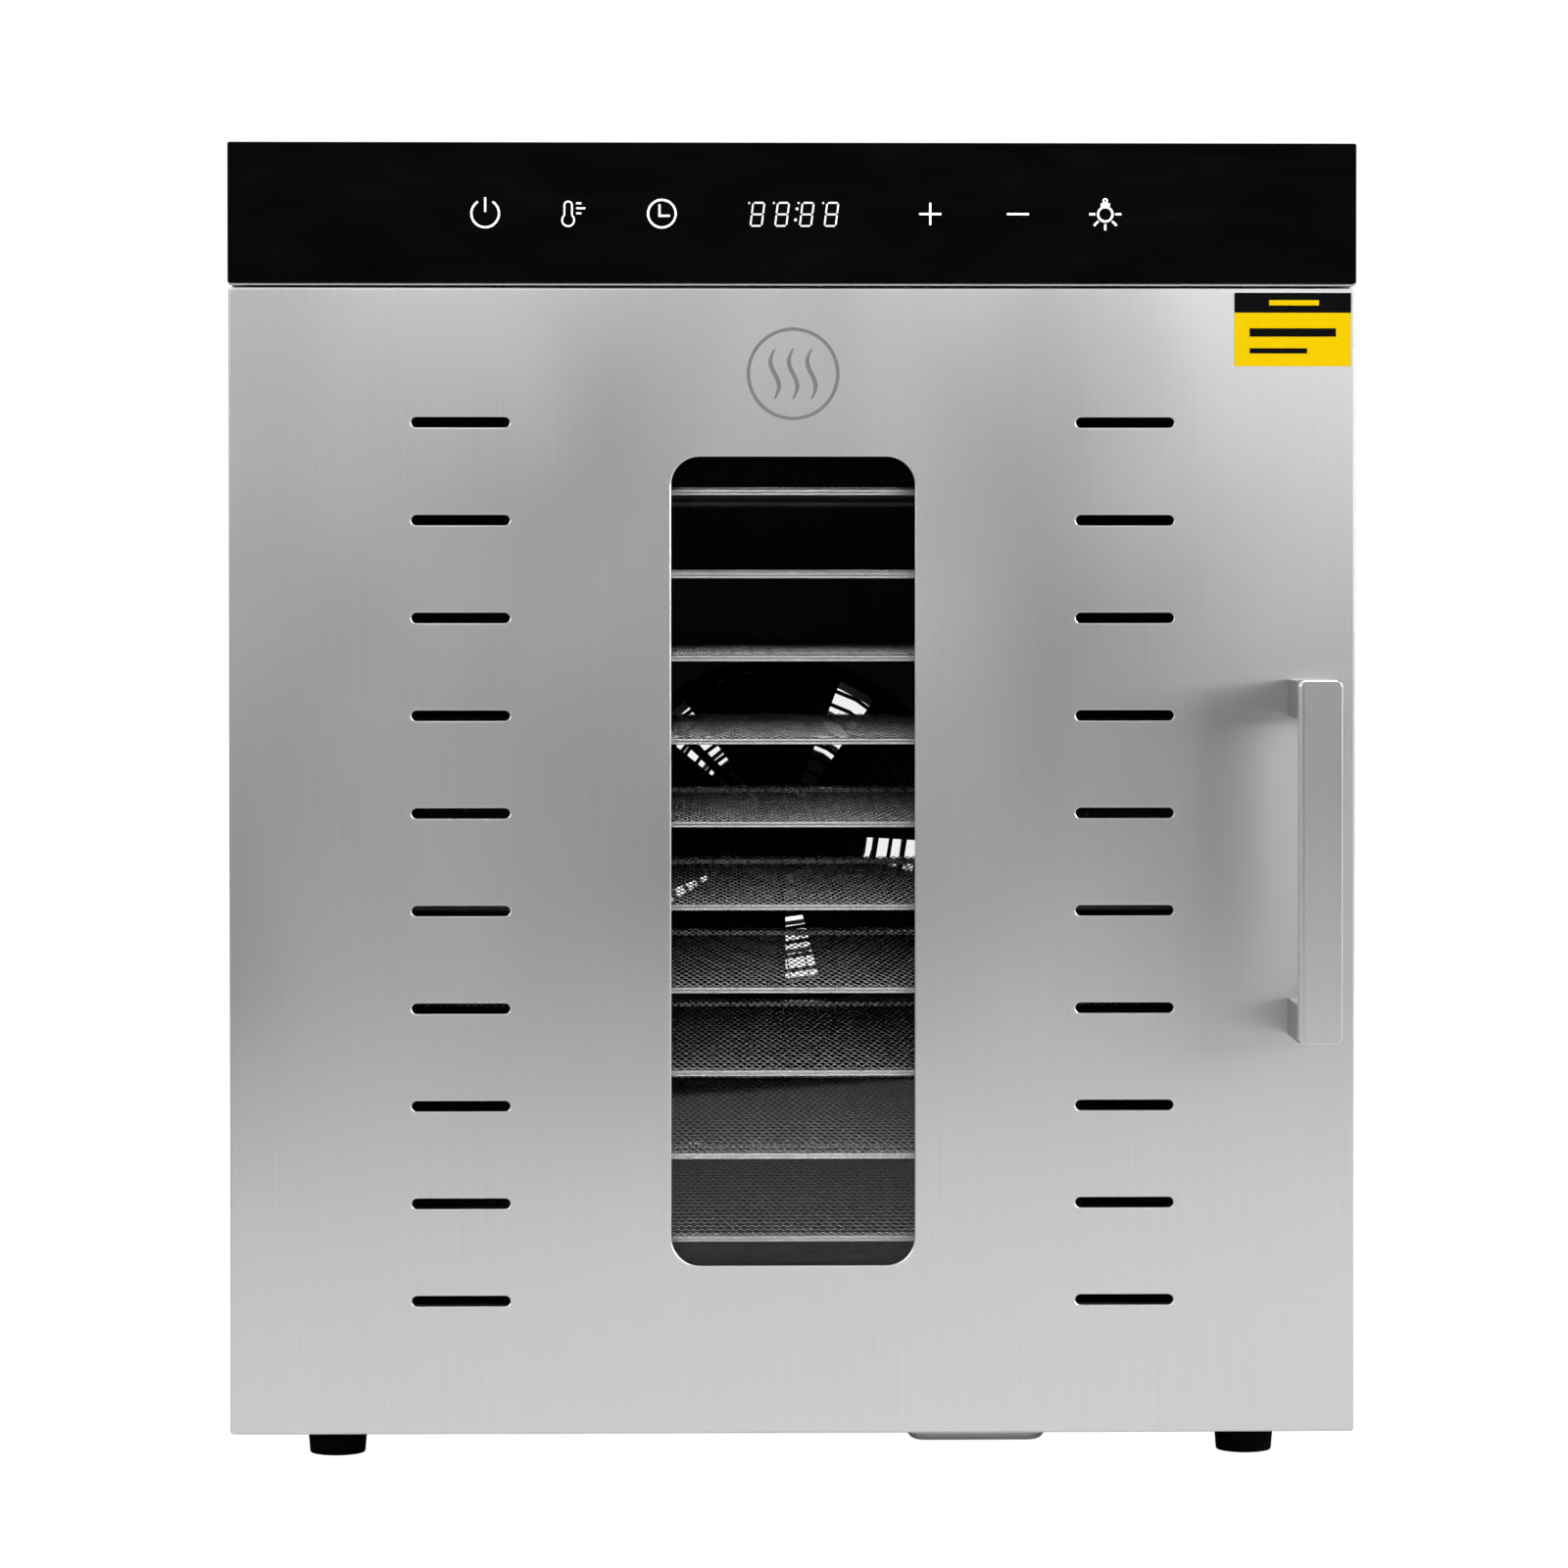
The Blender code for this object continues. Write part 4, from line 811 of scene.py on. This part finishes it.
def draw_thermometer(bm, y):
    x, bulb_z, top_z = -0.0855, 0.4769, 0.4840
    stem, bulb = 1.45 * MM, 2.3 * MM
    start = math.acos(stem / bulb)
    bulb_start, bulb_end = math.pi / 2 + (math.pi / 2 - start), 2 * math.pi + start
    thin = 0.55 * MM
    add_ring_stroke(bm, (x, bulb_z), bulb, thin, bulb_start, bulb_end, y, 24)
    add_ring_stroke(bm, (x, top_z - stem), stem, thin, 0.0, math.pi, y, 14)
    joint_z = bulb_z + bulb * math.sin(start)
    for side in (-1, 1):
        add_line_stroke(bm, (x + side * stem, joint_z), (x + side * stem, top_z - stem), thin, y)
    for z, length in ((0.4833, 1.9 * MM), (0.4814, 3.4 * MM), (0.4795, 1.9 * MM)):
        add_line_stroke(bm, (x + 3.1 * MM, z), (x + 3.1 * MM + length, z), 0.6 * MM, y)


def draw_clock(bm, y):
    centre = (-0.0499, MARK_Z)
    corner = (centre[0] - 0.9 * MM, centre[1] - 0.8 * MM)
    add_ring_stroke(bm, centre, RING_RADIUS, MARK_STROKE, 0.0, 2 * math.pi, y)
    add_line_stroke(bm, corner, (corner[0], corner[1] + 4.3 * MM), MARK_STROKE, y)
    start, end = (corner[0] - MARK_STROKE / 2, corner[1]), (corner[0] + 3.9 * MM, corner[1])
    add_line_stroke(bm, start, end, MARK_STROKE, y)


def draw_plus(bm, y):
    x = 0.0522
    add_line_stroke(bm, (x - SIGN_HALF, MARK_Z), (x + SIGN_HALF, MARK_Z), MARK_STROKE, y)
    for side in (-1, 1):
        start = (x, MARK_Z + side * MARK_STROKE / 2)
        add_line_stroke(bm, start, (x, MARK_Z + side * SIGN_HALF), MARK_STROKE, y)


def draw_minus(bm, y):
    x = 0.0856
    add_line_stroke(bm, (x - SIGN_HALF, MARK_Z), (x + SIGN_HALF, MARK_Z), MARK_STROKE, y)


def draw_lamp(bm, y):
    centre = (0.1189, MARK_Z)
    add_ring_stroke(bm, centre, 2.75 * MM, 0.75 * MM, 0.0, 2 * math.pi, y, 28)
    neck_z, neck_half = MARK_Z + 3.6 * MM, 1.7 * MM
    add_line_stroke(bm, (centre[0] - neck_half, neck_z), (centre[0] + neck_half, neck_z), 1.1 * MM, y)
    add_ring_stroke(bm, (centre[0], MARK_Z + 5.1 * MM), 0.75 * MM, 0.55 * MM, 0.0, 2 * math.pi, y, 16)
    for degrees in (0, 180, 270, 225, 315):
        start, end = turned_point(centre, 3.8 * MM, degrees), turned_point(centre, 6.1 * MM, degrees)
        add_line_stroke(bm, start, end, 0.75 * MM, y)


def draw_digits(bm, y):
    """Four slanted seven-segment eights, each with a dot, and a colon between the pairs."""
    width, height, stroke, lean = 4.9 * MM, 9.4 * MM, 0.62 * MM, math.tan(math.radians(7))
    pitch, left, bottom = 9.39 * MM, -0.0166, 0.4745
    reach, gap, dot_radius, colon_radius = stroke / 2, 0.22 * MM, 0.38 * MM, 0.55 * MM

    def segment(start, end):
        along = Vector((end[0] - start[0], end[1] - start[1])).normalized()
        across = Vector((-along.y, along.x)) * reach
        first, last = Vector(start), Vector(end)
        tip, shoulder = along * gap, along * (gap + reach)
        points = [first + tip, first + shoulder + across, last - shoulder + across]
        points += [last - tip, last - shoulder - across, first + shoulder - across]
        outline = [(p.x + (p.y - bottom) * lean, p.y) for p in points]
        add_plate(bm, outline, y, y + MARK_THICKNESS)

    for digit in range(4):
        x0 = left + digit * pitch + reach
        x1 = x0 + width - stroke
        z0, z2 = bottom + reach, bottom + height - reach
        z1 = (z0 + z2) / 2
        for start, end in (
            ((x0, z0), (x1, z0)),
            ((x0, z1), (x1, z1)),
            ((x0, z2), (x1, z2)),
            ((x0, z0), (x0, z1)),
            ((x0, z1), (x0, z2)),
            ((x1, z0), (x1, z1)),
            ((x1, z1), (x1, z2)),
        ):
            segment(start, end)
        dot = (left + digit * pitch - 0.1 * MM, bottom + height - 0.4 * MM)
        add_disc(bm, dot, dot_radius, y, 12)
    for centre in ((0.0015, 0.4813), (0.0009, 0.4771)):
        add_disc(bm, centre, colon_radius, y, 14)


def make_marks(materials):
    marks = {
        "mark_power": draw_power,
        "mark_temperature": draw_thermometer,
        "mark_timer": draw_clock,
        "mark_plus": draw_plus,
        "mark_minus": draw_minus,
        "mark_lamp": draw_lamp,
    }
    for name, draw in marks.items():
        icon(name, draw, materials["print_white"])
    icon("display_digits", draw_digits, materials["print_grey"])


# Cabinet outside


def make_wrap(materials):
    """The bent sheet over the sides and top, with round bends."""
    low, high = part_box("outer_wrap")
    sheet, bend, steps = 0.9 * MM, 2.2 * MM, 6
    outer, inner = [(low.x, low.z)], [(low.x + sheet, low.z)]
    for side in (-1, 1):
        centre = (side * (high.x - bend), high.z - bend)
        angles = [math.pi - math.pi / 2 * step / steps for step in range(steps + 1)]
        if side > 0:
            angles = [angle - math.pi / 2 for angle in angles]
        for angle in angles:
            outer.append((centre[0] + bend * math.cos(angle), centre[1] + bend * math.sin(angle)))
            reach = bend - sheet
            inner.append((centre[0] + reach * math.cos(angle), centre[1] + reach * math.sin(angle)))
    outer.append((high.x, low.z))
    inner.append((high.x - sheet, low.z))
    outline = outer + inner[::-1]
    bm = bmesh.new()
    add_plate(bm, outline, low.y, high.y)
    mesh = finish_mesh("cabinet_wrap", bm)
    steel = materials["body_steel"]
    add_piece("cabinet_wrap", mesh, steel, "cabinet", ("outer_wrap",), bevel=0.2 * MM)


def screw_mesh(material):
    """A pan-head screw with a cross recess; it stands along +Z from its seat at the origin."""
    steps, crown = 5, 0.96 * SCREW_RADIUS
    bm = bmesh.new()
    profile = [(0.0, 0.0), (SCREW_RADIUS, 0.0)]
    for step in range(1, steps):
        angle = math.pi / 2 * step / steps
        profile.append((crown * math.cos(angle), SCREW_RISE * math.sin(angle)))
    profile.append((0.0, SCREW_RISE))
    add_lathe(bm, profile, (0.0, 0.0, 0.0), 24)
    head = finish_mesh("screw_head", bm)
    bm = bmesh.new()
    arm, half, floor = 1.7 * MM, 0.28 * MM, 0.7 * MM
    cross = [(half, half), (half, arm), (-half, arm), (-half, half), (-arm, half), (-arm, -half)]
    cross += [(-half, -half), (-half, -arm), (half, -arm), (half, -half), (arm, -half), (arm, half)]
    add_sheet(bm, [[at_height(cross, floor), at_height(cross, 3 * SCREW_RISE)]], 2)
    mesh = cut_mesh(head, finish_mesh("screw_recess", bm), "pan_head_screw")
    mesh.materials.append(material)
    return mesh


def screw_places():
    """(name, seat, direction) of each screw on the sides, the back and the rear fan guard."""
    low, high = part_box("outer_wrap")
    inset = SIDE_SCREW_INSETS
    heights = (low.z + inset["bottom"], high.z - inset["top"])
    depths = (low.y + inset["front"], (low.y + high.y) / 2, high.y - inset["rear"])
    for side, x in (("left", low.x), ("right", high.x)):
        direction = Vector((-1.0 if side == "left" else 1.0, 0.0, 0.0))
        for row, z in enumerate(heights):
            for column, y in enumerate(depths):
                yield f"screw_{side}_{row}{column}", Vector((x, y, z)), direction
    rearward = Vector((0.0, 1.0, 0.0))
    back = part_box("back_panel")[1]
    for row, z in enumerate((*BACK_SCREW_HEIGHTS, back.z - BACK_SCREW_INSETS["top"])):
        for side in (-1, 1):
            seat = Vector((side * (back.x - BACK_SCREW_INSETS["side"]), back.y, z))
            yield f"screw_back_{row}{'l' if side < 0 else 'r'}", seat, rearward
    guard_low, guard_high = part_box("rear_fan_guard")
    middle = (guard_low + guard_high) / 2
    reach = (guard_high.x - guard_low.x) / 2 - GUARD_SCREW_INSET
    for index in range(4):
        angle = math.pi / 4 + index * math.pi / 2
        offset = Vector((math.cos(angle) * reach, 0.0, math.sin(angle) * reach))
        seat = Vector((middle.x, guard_high.y, middle.z)) + offset
        yield f"screw_guard_{index}", seat, rearward


def make_screws(materials):
    mesh = screw_mesh(materials["chrome"])
    for index, (name, seat, direction) in enumerate(screw_places()):
        twist = math.radians(FIRST_TWIST_DEGREES + TWIST_STEP_DEGREES * index)
        turn = direction.to_track_quat("Z", "Y").to_matrix().to_4x4()
        local = mesh.copy()
        local.transform(Matrix.Rotation(twist, 4, direction) @ turn)
        add_piece(name, local, None, "cabinet", location=seat)


def make_rating_plate(materials):
    """A plain plate on the back above the inlet, with nothing written on it."""
    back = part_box("back_panel")[1].y
    outline = rounded_rectangle(*PLATE_SIZE, 1.5 * MM, PLATE_CENTRE, 5)
    bm = bmesh.new()
    add_plate(bm, outline, back, back + PLATE_THICKNESS)
    mesh = finish_mesh("rating_plate", bm)
    add_piece("rating_plate", mesh, materials["label_silver"], "cabinet")


def make_feet(materials):
    """Turned rubber feet with a hollow for the screw in the sole."""
    recess, ceiling = 3.0 * MM, 2.2 * MM
    for row in ("front", "rear"):
        for side in ("left", "right"):
            node = f"foot_{row}_{side}"
            low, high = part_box(node)
            centre = ((low.x + high.x) / 2, (low.y + high.y) / 2, 0.0)
            top_radius, top = (high.x - low.x) / 2 + FOOT_SPREAD, high.z
            tip = top_radius - 1.1 * MM
            profile = [(0.0, ceiling), (recess, ceiling)]
            profile += [(recess + 0.2 * MM, 0.3 * MM), (recess + 0.6 * MM, 0.0)]
            profile += [(tip - 0.9 * MM, 0.0), (tip - 0.3 * MM, 0.12 * MM), (tip, 0.6 * MM)]
            profile += [(top_radius, top - 0.6 * MM), (top_radius - 0.4 * MM, top), (0.0, top)]
            bm = bmesh.new()
            add_lathe(bm, profile, centre, 48)
            mesh = finish_mesh(node + "_rubber", bm, 50)
            add_piece(node + "_rubber", mesh, materials["rubber"], "cabinet", (node,))


def make_drip_tray(materials):
    """A pressed pan: dished floor, sloping walls and a flat flange."""
    low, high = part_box("drip_tray")
    flange, corner = 3.0 * MM, 8.0 * MM
    middle = ((low.x + high.x) / 2, (low.y + high.y) / 2)
    size = (high.x - low.x - 2 * flange, high.y - low.y - 2 * flange)

    def ring(offset, z):
        width, depth = size[0] + 2 * offset, size[1] + 2 * offset
        return at_height(rounded_rectangle(width, depth, corner + offset, middle, 8), z)

    rings = [
        ring(-5.2 * MM, low.z),
        ring(-3.4 * MM, low.z + 0.15 * MM),
        ring(-2.0 * MM, low.z + 0.8 * MM),
        ring(-1.0 * MM, low.z + 2.0 * MM),
        ring(0.0, high.z - 0.6 * MM),
        ring(flange, high.z - 0.6 * MM),
        ring(flange, high.z),
        ring(-0.6 * MM, high.z),
        ring(-1.7 * MM, low.z + 2.2 * MM),
        ring(-2.9 * MM, low.z + 1.3 * MM),
        ring(-5.4 * MM, low.z + 0.8 * MM),
    ]
    bm = bmesh.new()
    add_sheet(bm, [rings], 2)
    mesh = finish_mesh("drip_pan", bm, 50)
    add_piece("drip_pan", mesh, materials["pan_steel"], "drip_tray", ("drip_tray",))


# Trays


def tube_faces(wires, points):
    """Quads of many tubes whose vertices are stored wire by wire, ring by ring."""
    faces = []
    side = np.arange(WIRE_SIDES)
    after = (side + 1) % WIRE_SIDES
    for wire in range(wires):
        start = wire * points * WIRE_SIDES
        rings = start + np.arange(points - 1)[:, None] * WIRE_SIDES
        ahead = rings + WIRE_SIDES
        quads = np.stack([rings + side, rings + after, ahead + after, ahead + side], -1)
        faces += quads.reshape(-1, 4).tolist()
        faces.append((start + side[::-1]).tolist())
        faces.append((start + (points - 1) * WIRE_SIDES + side).tolist())
    return faces


def wire_rows(fixed, along, heights, across_axis):
    """Vertices of parallel tubes. heights is one row of z per wire, given at the points along."""
    angles = 2 * math.pi * np.arange(WIRE_SIDES) / WIRE_SIDES
    shape = (len(fixed), len(along), WIRE_SIDES)
    sideways = np.broadcast_to(fixed[:, None, None] + WIRE_RADIUS * np.cos(angles), shape)
    lengthways = np.broadcast_to(along[None, :, None], shape)
    upwards = heights[:, :, None] + WIRE_RADIUS * np.sin(angles)
    pair = (lengthways, sideways) if across_axis == "Y" else (sideways, lengthways)
    return np.stack([*pair, upwards], -1).reshape(-1, 3)


def woven_mesh(half, length):
    """Wave-crimped wires along X over and under plainer wires along Y, in one mesh."""
    wave = DEPTH_WIRE_PITCH / WAVES_PER_CELL
    reach = half - WIRE_END_GAP
    steps = int(2 * reach / wave * POINTS_PER_WAVE)
    along_x = np.linspace(-reach, reach, steps + 1)
    rows = np.arange(RIM_WIDTH * 0.55, length - RIM_WIDTH * 0.5, CROSS_WIRE_PITCH)
    sign = np.where(np.arange(len(rows)) % 2, -1.0, 1.0)
    waves = WAVE_HEIGHT * np.cos(2 * math.pi * along_x / wave)
    cross = wire_rows(rows, along_x, sign[:, None] * waves[None, :], "Y")
    columns = int(reach / DEPTH_WIRE_PITCH)
    places = np.arange(-columns, columns + 1)
    along_y = np.arange(0.5 * MM, length - 0.5 * MM, CROSS_WIRE_PITCH / 2)
    side = np.where(places % 2, 1.0, -1.0)
    swing = WAVE_HEIGHT * np.cos(math.pi * (along_y - rows[0]) / CROSS_WIRE_PITCH)
    depth_wires = wire_rows(places * DEPTH_WIRE_PITCH, along_y, side[:, None] * swing[None, :], "X")
    faces = tube_faces(len(rows), len(along_x))
    offset = len(cross)
    more = tube_faces(len(places), len(along_y))
    faces += [[corner + offset for corner in face] for face in more]
    mesh = bpy.data.meshes.new("woven_wires")
    mesh.from_pydata(np.concatenate([cross, depth_wires]).tolist(), [], faces)
    mesh.shade_smooth()
    return mesh


def rim_mesh(half, length, thickness):
    """The tray's folded rim, with two lips and a groove round its outside."""
    centre = (0.0, length / 2)
    scale = thickness / RIM_SECTION_HEIGHT
    least = 0.4 * MM
    rings = []
    for inset, z in RIM_SECTION:
        radius = max(RIM_RADIUS - inset * MM, least)
        size = (2 * (half - inset * MM), length - 2 * inset * MM)
        rings.append(at_height(rounded_rectangle(*size, radius, centre, 6), z * scale))
    bm = bmesh.new()
    join_rings(bm, rings, closed=True)
    return finish_mesh("tray_rim", bm, 50)


def make_trays(materials):
    low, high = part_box(TRAY_NAMES[0])
    half, length, thickness = high.x, high.y - low.y, high.z - low.z
    rim = rim_mesh(half, length, thickness)
    rim.materials.append(materials["rim_steel"])
    wires = woven_mesh(half, length)
    wires.materials.append(materials["wire_steel"])
    for name in TRAY_NAMES:
        low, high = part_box(name)
        seat = Vector((0.0, low.y, high.z))
        add_piece(name + "_rim", rim, None, name, (name,), seat)
        raised = seat + Vector((0.0, 0.0, MESH_RISE))
        add_piece(name + "_wires", wires, None, name, (), raised)


# The finish of each CAD node that no piece replaces

NODE_FINISH = {
    "shaded_inner_steel": ("inner_liner", "rack_left", "rack_right"),
    "shaded_guard_black": ("fan_guard", "motor_bracket"),
    "panel_steel": ("back_panel",),
    "frame_steel": ("front_frame",),
    "zinc_steel": (
        "base_pan", "control_shelf", "door_inner_panel", "catch_plate", "hinge_arm_lower",
        "hinge_arm_upper", "rear_fan_guard", "heater_element",
        "heater_clip_left", "heater_clip_right", "drip_runner_left", "drip_runner_right",
    ),
    "chrome": ("hinge_pin_lower", "hinge_pin_upper", "fan_shaft", "temperature_probe"),
    "window": ("window_glass",),
    "lamp_clear": ("lamp_lens",),
    "black_plastic": ("display_module", "power_inlet"),
    "white_plastic": ("hinge_block_lower", "hinge_block_upper", "thermal_cutout", "lamp_base"),
    "silicone": ("window_gasket", "door_gasket"),
    "circuit_board": ("control_board", "power_board"),
    "aluminium": ("fan_blades",),
    "ferrite": ("magnet_catch",),
    "motor_iron": ("fan_motor",),
}


def finish_nodes(materials):
    for finish, nodes in NODE_FINISH.items():
        for node in nodes:
            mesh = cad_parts[node].data
            mesh.materials.clear()
            mesh.materials.append(materials[finish])


# Studio


def make_camera():
    data = bpy.data.cameras.new("camera")
    data.lens = CAMERA_LENS
    data.shift_x, data.shift_y = CAMERA_SHIFT
    camera = bpy.data.objects.new("camera", data)
    camera.location = (CAMERA_X, FRONT - CAMERA_DISTANCE, CAMERA_Z)
    pitch = math.radians(90 - CAMERA_PITCH_DOWN)
    camera.rotation_euler = (pitch, 0.0, -math.radians(CAMERA_YAW_RIGHT))
    bpy.context.collection.objects.link(camera)
    bpy.context.scene.camera = camera


def set_view_transform():
    """Plain output, which keeps the panel black and the backdrop white."""
    bpy.context.scene.view_settings.view_transform = "Standard"


def make_floor():
    """White sweep; its front edge runs askew about 1.5 m before the door."""
    outline = [(x, FRONT - reach, FLOOR_Z) for x, reach in FLOOR_EDGE]
    outline += [(FLOOR_EDGE[end][0], FLOOR_BACK, FLOOR_Z) for end in (-1, 0)]
    mesh = bpy.data.meshes.new("floor")
    mesh.from_pydata(outline, [], [list(range(len(outline)))])
    material, shader = new_material("floor_white", (0.50, 0.50, 0.50), 0.0, 0.8)
    tree = material.node_tree
    patches = noise_value(tree, (3.0, 3.0, 3.0), 2.0)
    tone = tinted(tree, patches, (0.49, 0.49, 0.49), (0.51, 0.51, 0.51))
    tree.links.new(tone, shader.inputs["Base Color"])
    path = tree.nodes.new("ShaderNodeLightPath")
    glow = ranged(tree, path.outputs["Is Camera Ray"], 0.0, FLOOR_GLOW, 0.0, 1.0)
    shader.inputs["Emission Color"].default_value = (1.0, 1.0, 1.0, 1.0)
    tree.links.new(glow, shader.inputs["Emission Strength"])
    mesh.materials.append(material)
    floor = bpy.data.objects.new("floor", mesh)
    bpy.context.collection.objects.link(floor)


def make_world():
    """White behind the object for the camera; a dim room with a dark front for the reflections."""
    world = bpy.data.worlds.new("studio")
    world.use_nodes = True
    tree = world.node_tree
    room = tree.nodes["Background"]
    room.inputs["Strength"].default_value = ROOM_STRENGTH
    white = tree.nodes.new("ShaderNodeBackground")
    white.inputs["Color"].default_value = (1.0, 1.0, 1.0, 1.0)
    white.inputs["Strength"].default_value = BACKDROP_STRENGTH
    path = tree.nodes.new("ShaderNodeLightPath")
    mix = tree.nodes.new("ShaderNodeMixShader")
    coordinates = tree.nodes.new("ShaderNodeTexCoord")
    split = tree.nodes.new("ShaderNodeSeparateXYZ")
    tree.links.new(coordinates.outputs["Generated"], split.inputs["Vector"])
    bright_at, dark_at = ROOM_FADE
    brightness = ranged(tree, split.outputs["Y"], 0.0, 1.0, dark_at, bright_at)
    tree.links.new(brightness, room.inputs["Color"])
    tree.links.new(path.outputs["Is Camera Ray"], mix.inputs["Fac"])
    tree.links.new(room.outputs["Background"], mix.inputs[1])
    tree.links.new(white.outputs["Background"], mix.inputs[2])
    tree.links.new(mix.outputs["Shader"], tree.nodes["World Output"].inputs["Surface"])
    bpy.context.scene.world = world


def add_softbox(name, location, target, size, power):
    data = bpy.data.lights.new(name, "AREA")
    data.shape = "RECTANGLE"
    data.size, data.size_y = size
    data.energy = power
    light = bpy.data.objects.new(name, data)
    light.location = location
    direction = Vector(target) - Vector(location)
    light.rotation_euler = direction.to_track_quat("-Z", "Y").to_euler()
    bpy.context.collection.objects.link(light)


def make_lights():
    for softbox in SOFTBOXES:
        add_softbox(*softbox)


def main():
    make_camera()
    set_view_transform()
    materials = make_materials()
    finish_nodes(materials)
    make_door_front(materials)
    make_handle_grip(materials)
    make_handle_posts(materials)
    make_label(materials)
    make_label_bars(materials)
    make_emblem(materials)
    make_fascia_panel(materials)
    make_fascia_housing(materials)
    make_marks(materials)
    make_wrap(materials)
    make_screws(materials)
    make_rating_plate(materials)
    make_feet(materials)
    make_drip_tray(materials)
    make_trays(materials)
    make_floor()
    make_world()
    make_lights()


main()
